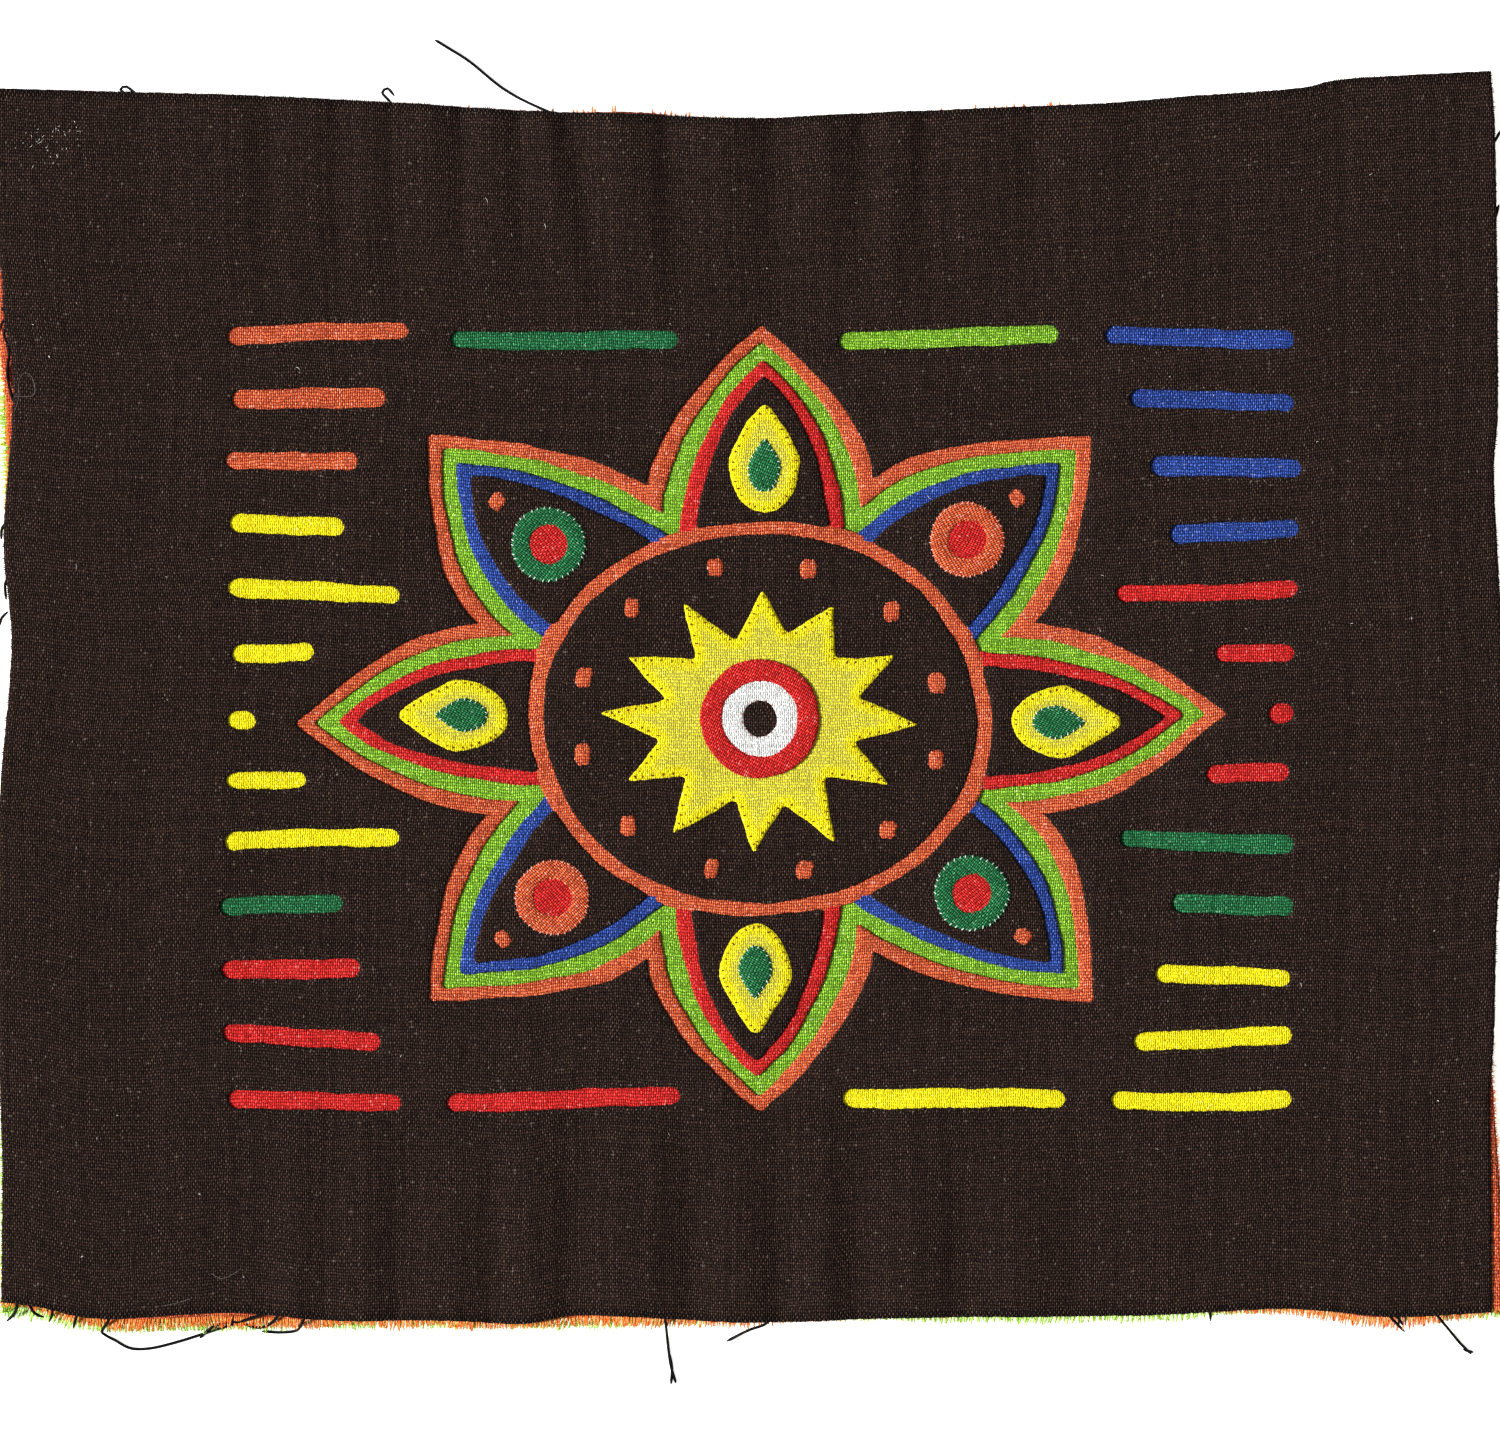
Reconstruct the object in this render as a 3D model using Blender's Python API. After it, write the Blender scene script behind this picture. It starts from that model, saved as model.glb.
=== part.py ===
"""Mola panel: three cotton cloths laid on each other and sewn through, in reverse applique.

A lime backing cloth lies on the table, an orange cloth lies on it, and a dark brown cloth is on
top. Openings cut in the upper cloths show the ones below as bands round an eight-petalled flower,
and a field of narrow horizontal bars is cut through the top cloth beside it. The parts of the
upper cloths inside the flower are cut free, so they are pieces of their own. The raw edges of
the three cloths don't line up, and the margins above and below the field lie in soft folds.

Lengths are in millimetres and are turned into metres as each mesh is made. X runs along the
panel's long side and Y up its short side as it is looked at. Z points up from the table. The
origin is under the middle of the panel, on the table.
"""
import math

import bmesh
import bpy
from mathutils import Vector
from mathutils.geometry import delaunay_2d_cdt

METRE = 0.001

# Layers
CLOTH_THICKNESS = 1.0
LAYER_GAP = 0.3
LAYER_STEP = CLOTH_THICKNESS + LAYER_GAP

# The raw edges. Each side is a table with one row for each bend of the edge: the place along
# the side, then how far out the top, middle and backing cloths reach there.
TOP_SIDE = (
    (-113.2, 91.8, 91.3, 90.9),
    (-77.0, 90.8, 90.3, 89.9),
    (-54.0, 89.7, 89.2, 88.8),
    (-33.0, 88.4, 88.6, 87.8),
    (-16.0, 87.9, 88.6, 87.4),
    (0.0, 87.3, 87.0, 86.7),
    (20.0, 88.2, 87.8, 87.4),
    (45.0, 89.8, 90.3, 89.2),
    (65.0, 90.9, 90.5, 90.1),
    (87.0, 92.8, 92.4, 92.0),
    (109.0, 94.5, 94.1, 93.7),
)
RIGHT_SIDE = (
    (83.0, 111.3, 110.9, 110.5),
    (50.0, 111.8, 111.4, 111.0),
    (0.0, 113.0, 112.6, 112.2),
    (-27.0, 112.4, 112.1, 111.8),
    (-57.0, 111.4, 112.8, 112.0),
    (-75.0, 111.0, 113.2, 112.4),
)
BOTTOM_SIDE = (
    (111.0, -91.3, -92.4, -93.0),
    (96.0, -92.0, -93.3, -92.6),
    (80.0, -90.8, -92.4, -91.6),
    (58.0, -91.8, -91.3, -92.5),
    (24.0, -92.1, -91.7, -92.6),
    (0.0, -92.8, -93.1, -92.3),
    (-24.0, -91.7, -93.2, -93.4),
    (-34.0, -93.0, -92.5, -94.1),
    (-52.0, -92.6, -93.5, -94.5),
    (-78.0, -91.4, -93.3, -94.1),
    (-97.0, -92.3, -93.6, -94.3),
    (-112.0, -89.8, -91.0, -91.8),
)
LEFT_SIDE = (
    (-69.0, -111.9, -111.5, -112.3),
    (-50.0, -112.4, -112.0, -111.6),
    (-18.0, -112.4, -112.0, -111.6),
    (8.0, -110.5, -110.1, -109.7),
    (24.0, -111.7, -111.3, -111.0),
    (42.0, -110.4, -111.4, -112.2),
    (56.0, -111.6, -113.0, -111.9),
    (70.0, -112.6, -113.2, -112.0),
)
TOP_CLOTH, MIDDLE_CLOTH, BACKING_CLOTH = 1, 2, 3

# The folds. A row for each crease of a margin: where it meets the edge, where it ends at the
# flat field, and the height of the soft ridge between it and the next crease.
TOP_FOLDS = (
    (-84.0, -84.0, 0.35),
    (-72.5, -72.0, 0.45),
    (-61.6, -60.8, 0.40),
    (-53.7, -53.0, 0.60),
    (-43.6, -43.2, 0.70),
    (-35.1, -33.8, 0.85),
    (-27.8, -20.3, 1.00),
    (-12.8, -10.5, 0.95),
    (3.0, 3.8, 0.90),
    (16.8, 15.0, 0.75),
    (26.4, 23.3, 0.60),
    (42.2, 42.0, 0.35),
    (58.0, 57.0, 0.0),
)
BOTTOM_FOLDS = (
    (-72.9, -72.0, 0.40),
    (-64.0, -63.0, 0.50),
    (-52.8, -52.0, 0.65),
    (-39.0, -38.5, 0.75),
    (-27.2, -26.0, 0.95),
    (-8.9, -10.0, 0.80),
    (4.2, 3.0, 0.85),
    (15.5, 14.5, 0.80),
    (31.5, 30.5, 0.60),
    (47.6, 46.5, 0.0),
)
FLAT_HALF_DEPTH = 48.0
FOLD_FULL_DEPTH = 88.0
FOLD_ROWS = (FLAT_HALF_DEPTH, 60.0, 72.0, 84.0, 98.0)
RIDGE_SAMPLES = (0.0, 0.25, 0.5, 0.75)
RIDGE_ROUNDNESS = 1.3

# The flower. Its petals are drawn on a round flower, which is then stretched along X.
FIELD_CENTER = (1.5, -2.5)
FLOWER_STRETCH = 1.18
PETAL_COUNT = 8
PETAL_ANGLE = 2 * math.pi / PETAL_COUNT
PETAL_TIP_RADIUS = 59.5
NOTCH_RADIUS = 38.0
SHOULDER_RADIUS = 47.0
SHOULDER_ANGLE = math.radians(18.0)
PETAL_SIDE_STEPS = 7
PETAL_BASE_STEPS = 4

# How far each opening lies inside the flower's outline
MIDDLE_BAND = 1.8
ISLAND_INSET = 3.85
PETAL_INSET = 5.6
RING_RADIUS = 29.2
DISC_RADIUS = 27.5
PIECE_CLEARANCE = 0.6
RING_SIDES = 48

# The bars cut through the top cloth, from the field's centre: the left end, the right end, the
# height in the field, how far the right end rises, and the width.
BARS = (
    (-80.0, -52.0, 57.0, 0.5, 2.7),
    (-46.0, -12.5, 56.4, 0.4, 2.6),
    (12.0, 44.5, 57.2, -0.4, 2.8),
    (51.0, 80.0, 56.6, 0.3, 2.7),
    (-79.4, -55.5, 47.6, -0.3, 2.9),
    (55.0, 79.5, 47.3, 0.4, 2.6),
    (-80.2, -60.0, 38.2, 0.3, 2.6),
    (58.5, 80.3, 38.0, -0.3, 2.8),
    (-79.6, -62.5, 28.6, 0.3, 2.8),
    (61.5, 79.8, 28.4, 0.2, 2.7),
    (-80.0, -54.0, 19.4, -0.5, 2.7),
    (54.0, 80.0, 19.2, 0.5, 2.6),
    (-79.5, -67.5, 10.2, 0.2, 2.6),
    (68.0, 80.0, 9.8, -0.2, 2.8),
    (-80.0, -76.0, 0.4, 0.0, 3.0),
    (76.4, 80.2, 0.2, 0.0, 3.0),
    (-80.0, -68.0, -9.2, 0.2, 2.7),
    (67.5, 79.6, -8.8, 0.2, 2.6),
    (-79.6, -54.5, -18.6, 0.4, 2.8),
    (54.0, 80.2, -18.4, -0.4, 2.7),
    (-80.1, -62.5, -28.2, -0.2, 2.6),
    (62.0, 80.0, -27.8, 0.3, 2.9),
    (-79.8, -60.0, -37.8, 0.3, 2.8),
    (59.0, 79.6, -38.2, -0.2, 2.6),
    (-80.0, -56.5, -47.4, -0.4, 2.7),
    (55.5, 80.0, -47.6, 0.4, 2.7),
    (-79.6, -53.0, -57.2, 0.4, 2.6),
    (-46.5, -12.0, -56.8, -0.3, 2.8),
    (12.5, 45.5, -57.0, 0.4, 2.7),
    (52.0, 79.8, -56.6, -0.3, 2.8),
)
BAR_END_STEPS = 3
BAR_SIDE_STEPS = 3

# The cut lines wander as a hand's do. A row for each wave: how far it moves a point, and the
# length along X and Y in which it turns by one radian.
WANDER_ACROSS = ((0.50, 13.0, 19.0), (0.28, 7.1, -9.7))
WANDER_ALONG = ((0.50, -17.0, 12.0), (0.28, 8.9, 6.3))

# Cloth colours, as linear red, green and blue
DARK_BROWN = (0.027, 0.016, 0.013)
ORANGE = (0.60, 0.105, 0.045)
LIME = (0.22, 0.36, 0.035)
CLOTH_ROUGHNESS = 0.92


def clear_scene():
    for item in list(bpy.data.objects):
        bpy.data.objects.remove(item, do_unlink=True)


def cloth_material(name, color):
    material = bpy.data.materials.new(name)
    material.use_nodes = True
    shader = material.node_tree.nodes["Principled BSDF"]
    shader.inputs["Base Color"].default_value = (*color, 1.0)
    shader.inputs["Roughness"].default_value = CLOTH_ROUGHNESS
    shader.inputs["Metallic"].default_value = 0.0
    material.diffuse_color = (*color, 1.0)
    return material


# Outlines


def cloth_outline(cloth):
    """The raw edge of one of the three cloths, going round from the top left corner."""
    across = [(row[0], row[cloth]) for row in TOP_SIDE]
    down = [(row[cloth], row[0]) for row in RIGHT_SIDE]
    back = [(row[0], row[cloth]) for row in BOTTOM_SIDE]
    up = [(row[cloth], row[0]) for row in LEFT_SIDE]
    return [Vector(point) for point in across + down + back + up]


def line_crossing(point_a, along_a, point_b, along_b):
    """Where two lines, each given by a point and a direction, cross."""
    spread = along_a.cross(along_b)
    reach = (point_b - point_a).cross(along_b) / spread
    return point_a + reach * along_a


def petal_side(inset):
    """One side of the petal on +X, from the notch to the tip, moved inwards by inset.

    The side is a curve that a control triangle shapes: notch, shoulder and tip. Moving the
    triangle's legs inwards keeps the band between two such sides even.
    """
    half = PETAL_ANGLE / 2
    notch_ray = Vector((math.cos(half), math.sin(half)))
    axis_ray = Vector((1.0, 0.0))
    notch = NOTCH_RADIUS * notch_ray
    shoulder = SHOULDER_RADIUS * Vector((math.cos(SHOULDER_ANGLE), math.sin(SHOULDER_ANGLE)))
    tip = PETAL_TIP_RADIUS * axis_ray
    low_leg = (shoulder - notch).normalized()
    high_leg = (tip - shoulder).normalized()
    low_point = notch + inset * Vector((low_leg.y, -low_leg.x))
    high_point = tip + inset * Vector((high_leg.y, -high_leg.x))
    start = line_crossing(low_point, low_leg, Vector((0.0, 0.0)), notch_ray)
    control = line_crossing(low_point, low_leg, high_point, high_leg)
    end = line_crossing(high_point, high_leg, Vector((0.0, 0.0)), axis_ray)
    points = []
    for step in range(PETAL_SIDE_STEPS + 1):
        t = step / PETAL_SIDE_STEPS
        points.append((1 - t) ** 2 * start + 2 * t * (1 - t) * control + t * t * end)
    return points


def outside_ring(points, radius):
    """The part of a petal side that lies outside a circle round the flower's centre."""
    kept = []
    for near, far in zip(points, points[1:]):
        if near.length < radius <= far.length:
            share = (radius - near.length) / (far.length - near.length)
            kept.append(near.lerp(far, share))
        elif near.length >= radius:
            kept.append(near)
    kept.append(points[-1])
    return kept


def petal_outline(inset, base_radius):
    """One petal on +X, from its lower base round the tip to its upper base."""
    side = outside_ring(petal_side(inset), base_radius)
    lower = [Vector((point.x, -point.y)) for point in side]
    return lower + side[-2::-1]


def free_petal_outline(inset, base_radius):
    """A petal cut free of the flower, with its base rounded to follow the ring."""
    outline = petal_outline(inset, base_radius)
    half_angle = outline[-1].angle_signed(Vector((1.0, 0.0)))
    for step in range(1, PETAL_BASE_STEPS):
        angle = half_angle * (1 - 2 * step / PETAL_BASE_STEPS)
        outline.append(base_radius * Vector((math.cos(angle), math.sin(angle))))
    return outline


def wander(waves, x, y):
    """How far the waves move a point of the drawing."""
    return sum(size * math.sin(x / x_length + y / y_length) for size, x_length, y_length in waves)


def cut_by_hand(x, y):
    """A point of the drawing, from the field's centre, where the scissors really went."""
    wandered = Vector((x + wander(WANDER_ACROSS, x, y), y + wander(WANDER_ALONG, x, y)))
    return Vector(FIELD_CENTER) + wandered


def on_panel(point, petal_number=0):
    """A point of the round flower, turned to its petal, stretched and put on the panel."""
    angle = petal_number * PETAL_ANGLE
    x = point.x * math.cos(angle) - point.y * math.sin(angle)
    y = point.x * math.sin(angle) + point.y * math.cos(angle)
    return cut_by_hand(FLOWER_STRETCH * x, y)


def flower_outline(inset, base_radius):
    """The whole flower's outline, petal after petal."""
    outline = []
    for number in range(PETAL_COUNT):
        petal = [on_panel(point, number) for point in petal_outline(inset, base_radius)]
        if outline and (petal[0] - outline[-1]).length < LAYER_GAP:
            petal = petal[1:]
        outline += petal
    if (outline[0] - outline[-1]).length < LAYER_GAP:
        outline.pop()
    return outline


def ring_outline(radius):
    angles = [2 * math.pi * side / RING_SIDES for side in range(RING_SIDES)]
    return [on_panel(radius * Vector((math.cos(a), math.sin(a)))) for a in angles]


def round_end(center, side, heading):
    """A half circle that starts beside its centre and goes round by way of the heading."""
    turns = [math.pi * step / BAR_END_STEPS for step in range(BAR_END_STEPS + 1)]
    return [center + math.cos(turn) * side + math.sin(turn) * heading for turn in turns]


def bar_outline(left, right, height, rise, width):
    """A narrow slot with round ends."""
    start = Vector((left, height))
    end = Vector((right, height + rise))
    along = (end - start).normalized() * width / 2
    across = Vector((-along.y, along.x))
    left_end = round_end(start + along, across, -along)
    right_end = round_end(end - along, -across, along)
    shares = [step / BAR_SIDE_STEPS for step in range(1, BAR_SIDE_STEPS)]
    lower = [left_end[-1].lerp(right_end[0], share) for share in shares]
    upper = [right_end[-1].lerp(left_end[0], share) for share in shares]
    return [cut_by_hand(point.x, point.y) for point in left_end + lower + right_end + upper]


# Folds


def crease_lines(folds, depth_share):
    """The X of each crease of a margin, part of the way from the flat field to the edge."""
    return [inner + (edge - inner) * depth_share for edge, inner, _ in folds]


def fold_height(x, y):
    """How high the folded cloth lies above the table at a point."""
    folds = TOP_FOLDS if y > 0 else BOTTOM_FOLDS
    share = (abs(y) - FLAT_HALF_DEPTH) / (FOLD_FULL_DEPTH - FLAT_HALF_DEPTH)
    share = min(max(share, 0.0), 1.0)
    growth = share * share * (3 - 2 * share)
    lines = crease_lines(folds, share)
    for row, start, end in zip(folds, lines, lines[1:]):
        if start <= x < end:
            across = (x - start) / (end - start)
            return row[2] * growth * math.sin(math.pi * across) ** RIDGE_ROUNDNESS
    return 0.0


def fold_grid():
    """Lines along the creases and ridges, and across them, on which every cloth is bent."""
    lines = []
    for side, folds in ((1, TOP_FOLDS), (-1, BOTTOM_FOLDS)):
        rows = []
        for depth in FOLD_ROWS:
            share = (depth - FLAT_HALF_DEPTH) / (FOLD_FULL_DEPTH - FLAT_HALF_DEPTH)
            creases = crease_lines(folds, min(share, 1.0))
            row = []
            for start, end in zip(creases, creases[1:]):
                row += [start + (end - start) * sample for sample in RIDGE_SAMPLES]
            row.append(creases[-1])
            rows.append([Vector((x, side * depth)) for x in row])
        lines += rows
        lines += [list(column) for column in zip(*rows)]
    return lines


# Meshes


def is_inside(point, ring):
    """Whether a point lies inside a closed outline."""
    inside = False
    for a, b in zip(ring, ring[1:] + ring[:1]):
        if (a.y > point.y) != (b.y > point.y):
            crossing = a.x + (point.y - a.y) / (b.y - a.y) * (b.x - a.x)
            if point.x < crossing:
                inside = not inside
    return inside


def cut_cloth(outline, holes, grid):
    """Triangles of a flat cloth with holes, which follow the lines of the fold grid."""
    points = []
    edges = []
    for ring in [outline] + holes:
        first = len(points)
        points += ring
        edges += [(first + i, first + (i + 1) % len(ring)) for i in range(len(ring))]
    for line in grid:
        first = len(points)
        points += line
        edges += [(first + i, first + i + 1) for i in range(len(line) - 1)]
    corners, _, triangles, _, _, _ = delaunay_2d_cdt(points, edges, [], 0, 1e-4)
    kept = []
    for triangle in triangles:
        middle = sum((corners[i] for i in triangle), Vector((0.0, 0.0))) / 3
        if is_inside(middle, outline) and not any(is_inside(middle, hole) for hole in holes):
            kept.append(triangle)
    return corners, kept


def add_cloth(name, level, material, outline, holes=(), grid=()):
    """One piece of cloth as a closed solid, lying on the folds at its level in the stack."""
    corners, triangles = cut_cloth(outline, list(holes), list(grid))
    mesh = bmesh.new()
    placed = {}
    for triangle in triangles:
        for index in triangle:
            if index not in placed:
                x, y = corners[index]
                z = level * LAYER_STEP + fold_height(x, y)
                placed[index] = mesh.verts.new(Vector((x, y, z)) * METRE)
        mesh.faces.new([placed[index] for index in triangle])
    sheet = mesh.verts[:] + mesh.edges[:] + mesh.faces[:]
    raised = bmesh.ops.extrude_face_region(mesh, geom=sheet, use_keep_orig=True)
    upper = [item for item in raised["geom"] if isinstance(item, bmesh.types.BMVert)]
    bmesh.ops.translate(mesh, verts=upper, vec=(0, 0, CLOTH_THICKNESS * METRE))
    bmesh.ops.recalc_face_normals(mesh, faces=mesh.faces[:])
    data = bpy.data.meshes.new(name)
    mesh.to_mesh(data)
    mesh.free()
    data.materials.append(material)
    piece = bpy.data.objects.new(name, data)
    bpy.context.collection.objects.link(piece)
    return piece


def build_panel():
    dark = cloth_material("dark_brown_cotton", DARK_BROWN)
    orange = cloth_material("orange_cotton", ORANGE)
    lime = cloth_material("lime_cotton", LIME)
    grid = fold_grid()
    opening = flower_outline(0.0, RING_RADIUS)
    middle_opening = flower_outline(MIDDLE_BAND, RING_RADIUS)
    island = flower_outline(ISLAND_INSET, RING_RADIUS)
    bars = [bar_outline(*bar) for bar in BARS]

    add_cloth("backing_cloth", 0, lime, cloth_outline(BACKING_CLOTH), grid=grid)
    add_cloth("middle_cloth", 1, orange, cloth_outline(MIDDLE_CLOTH), [middle_opening], grid)
    add_cloth("middle_flower", 1, orange, island, grid=grid)
    add_cloth("top_cloth", 2, dark, cloth_outline(TOP_CLOTH), [opening] + bars, grid)
    petal = free_petal_outline(PETAL_INSET, RING_RADIUS + PIECE_CLEARANCE)
    for number in range(PETAL_COUNT):
        outline = [on_panel(point, number) for point in petal]
        add_cloth(f"petal_{number + 1}", 2, dark, outline, grid=grid)
    add_cloth("center_disc", 2, dark, ring_outline(DISC_RADIUS))


clear_scene()
build_panel()
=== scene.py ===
"""Mola panel: the looks of the sewn cotton cloths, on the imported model's frame.

A lime cloth lies lowest, an orange cloth on it and a dark brown cloth on top. Every opening has a
turned-under edge that rolls down to the cloth below, held by small stitches. Coloured patches
lie under the bars and round the petals, and cut pieces are sewn on top. The raw edges fray.

Lengths are in millimetres and are turned into metres as each mesh is made. X runs along the long
side, Y up the short side and Z up from the table. The origin is under the panel's middle.
"""
import math
import random

import bpy
import numpy as np
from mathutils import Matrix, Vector
from mathutils.geometry import delaunay_2d_cdt
from mathutils.kdtree import KDTree


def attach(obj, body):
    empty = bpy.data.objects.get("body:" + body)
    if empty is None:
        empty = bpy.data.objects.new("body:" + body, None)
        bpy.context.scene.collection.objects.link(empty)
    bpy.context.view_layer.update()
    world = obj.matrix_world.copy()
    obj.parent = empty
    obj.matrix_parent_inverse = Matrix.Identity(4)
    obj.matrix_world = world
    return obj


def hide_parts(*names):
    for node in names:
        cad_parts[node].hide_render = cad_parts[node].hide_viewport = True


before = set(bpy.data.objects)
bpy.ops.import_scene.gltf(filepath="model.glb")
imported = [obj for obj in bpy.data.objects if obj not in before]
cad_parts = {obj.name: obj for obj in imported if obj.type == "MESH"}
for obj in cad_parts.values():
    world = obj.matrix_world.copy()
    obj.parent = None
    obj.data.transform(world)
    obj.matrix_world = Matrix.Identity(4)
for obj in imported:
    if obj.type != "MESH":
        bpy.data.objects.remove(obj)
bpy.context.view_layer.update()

METRE = 0.001
BODY = "root"

# The photograph's frame: its size in pixels, the length of a pixel, and the pixel at the origin
PHOTO_SIZE = (1500, 1442)
PIXEL = 0.15
ORIGIN_PIXEL = (750.0, 702.0)

# The raw edges. Each side is a table with one row for each bend of the edge: the place along
# the side, then how far out the top, middle and backing cloths reach there.
TOP_SIDE = (
    (-113.2, 91.8, 91.3, 90.9),
    (-77.0, 90.8, 90.3, 89.9),
    (-54.0, 89.7, 89.2, 88.8),
    (-33.0, 88.4, 88.6, 87.8),
    (-16.0, 87.9, 88.6, 87.4),
    (0.0, 87.3, 87.0, 86.7),
    (20.0, 88.2, 87.8, 87.4),
    (45.0, 89.2, 89.7, 88.6),
    (54.0, 89.6, 89.2, 88.8),
    (65.0, 90.6, 90.2, 89.8),
    (82.0, 91.8, 91.4, 91.0),
    (89.0, 93.2, 92.8, 92.4),
    (110.8, 94.4, 94.0, 93.6),
)
RIGHT_SIDE = (
    (83.0, 111.5, 111.1, 110.7),
    (46.0, 111.9, 111.5, 111.1),
    (34.8, 111.3, 110.9, 110.5),
    (21.0, 111.9, 111.5, 111.1),
    (0.0, 113.0, 112.6, 112.2),
    (-20.0, 112.5, 112.1, 111.8),
    (-33.0, 111.7, 111.4, 111.0),
    (-50.0, 111.3, 111.1, 110.8),
    (-60.0, 110.7, 111.5, 111.0),
    (-75.0, 110.9, 112.5, 112.0),
)
BOTTOM_SIDE = (
    (96.0, -92.0, -93.5, -92.7),
    (80.0, -90.8, -91.7, -91.3),
    (58.0, -91.8, -91.3, -92.5),
    (24.0, -92.1, -91.7, -92.6),
    (0.0, -92.8, -93.1, -92.3),
    (-24.0, -91.7, -93.2, -93.4),
    (-34.0, -93.0, -93.6, -93.3),
    (-43.0, -92.6, -93.8, -93.4),
    (-47.0, -92.5, -93.0, -93.7),
    (-53.0, -92.5, -93.9, -93.4),
    (-59.0, -92.6, -92.9, -93.9),
    (-65.0, -92.4, -93.7, -93.6),
    (-78.0, -91.4, -93.3, -94.0),
    (-97.0, -92.3, -93.6, -94.2),
    (-106.5, -90.5, -91.0, -92.3),
    (-112.0, -89.8, -90.0, -91.5),
)
LEFT_SIDE = (
    (-69.0, -111.9, -111.5, -112.3),
    (-50.0, -112.4, -112.0, -111.6),
    (-18.0, -112.4, -112.0, -111.6),
    (8.0, -110.5, -110.1, -109.7),
    (24.0, -111.7, -111.3, -111.0),
    (42.0, -110.4, -111.4, -112.2),
    (50.0, -110.3, -112.3, -112.1),
    (57.0, -111.5, -113.0, -111.9),
    (63.0, -111.9, -113.1, -112.0),
    (70.0, -112.6, -113.2, -112.0),
)
TOP_CLOTH, MIDDLE_CLOTH, BACKING_CLOTH = 1, 2, 3

# The bottom right corner, where the lower cloths reach out past the top one
BOTTOM_RIGHT = {TOP_CLOTH: (111.0, -91.3), MIDDLE_CLOTH: (113.0, -90.9), BACKING_CLOTH: (112.7, -91.8)}
# The lower cloths lie close under the top one there: where they start to rise, along X and down Y,
# within what distances they are up, and by how much
CORNER_START = (106.0, -50.0)
CORNER_RISE_LENGTHS = (3.0, 8.0)
CORNER_RISES = {"dark": 0.0, "orange": 1.0, "lime": 0.9}

# The folds of the margins. A row for each crease: where it meets the edge, where it ends at the
# flat field, and the height of the soft ridge between it and the next crease.
TOP_FOLDS = (
    (-84.0, -84.0, 0.35),
    (-72.5, -72.0, 0.45),
    (-61.6, -60.8, 0.40),
    (-53.7, -53.0, 0.60),
    (-43.6, -43.2, 0.70),
    (-35.1, -33.8, 0.85),
    (-27.8, -20.3, 1.00),
    (-12.8, -10.5, 0.95),
    (3.0, 3.8, 0.90),
    (16.8, 15.0, 0.75),
    (26.4, 23.3, 0.60),
    (42.2, 42.0, 0.35),
    (58.0, 57.0, 0.0),
)
BOTTOM_FOLDS = (
    (-72.9, -72.0, 0.40),
    (-64.0, -63.0, 0.50),
    (-52.8, -52.0, 0.65),
    (-39.0, -38.5, 0.75),
    (-27.2, -26.0, 0.95),
    (-8.9, -10.0, 0.80),
    (4.2, 3.0, 0.85),
    (15.5, 14.5, 0.80),
    (31.5, 30.5, 0.60),
    (47.6, 46.5, 0.0),
)
# How far from the middle the folds start to grow, and where they have their full height
FLAT_HALF_DEPTH = 48.0
FOLD_FULL_DEPTH = 88.0
# How far each ridge leans, and how much higher the folds of the thin cloth lie than those of the
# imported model
RIDGE_LEAN = 1.35
FOLD_RISE = 1.4

# Small waves that the sewing draws into the whole panel: height, and the length along X and Y
# in which each turns by one radian.
RIPPLES = ((0.07, 5.1, 16.0), (0.05, -3.4, 7.7), (0.04, 2.6, -21.0))

# The flower, drawn round and then stretched along X
FIELD_CENTER = (1.5, -2.5)
FLOWER_STRETCH = 1.18
PETAL_COUNT = 8
PETAL_ANGLE = 2 * math.pi / PETAL_COUNT
PETAL_TIP_RADIUS = 59.5
NOTCH_RADIUS = 38.0
SHOULDER_RADIUS = 47.0
SHOULDER_ANGLE = math.radians(18.0)
MIDDLE_BAND = 1.8
ISLAND_INSET = 3.85
PETAL_INSET = 5.6
RING_RADIUS = 29.2
RING_REACH = 29.8
DISC_RADIUS = 27.5
CURVE_STEPS = 40

# The cut lines wander as a hand's do. A row for each wave: how far it moves a point, and the
# length along X and Y in which it turns by one radian.
WANDER_ACROSS = ((0.50, 13.0, 19.0), (0.28, 7.1, -9.7))
WANDER_ALONG = ((0.50, -17.0, 12.0), (0.28, 8.9, 6.3))

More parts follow.
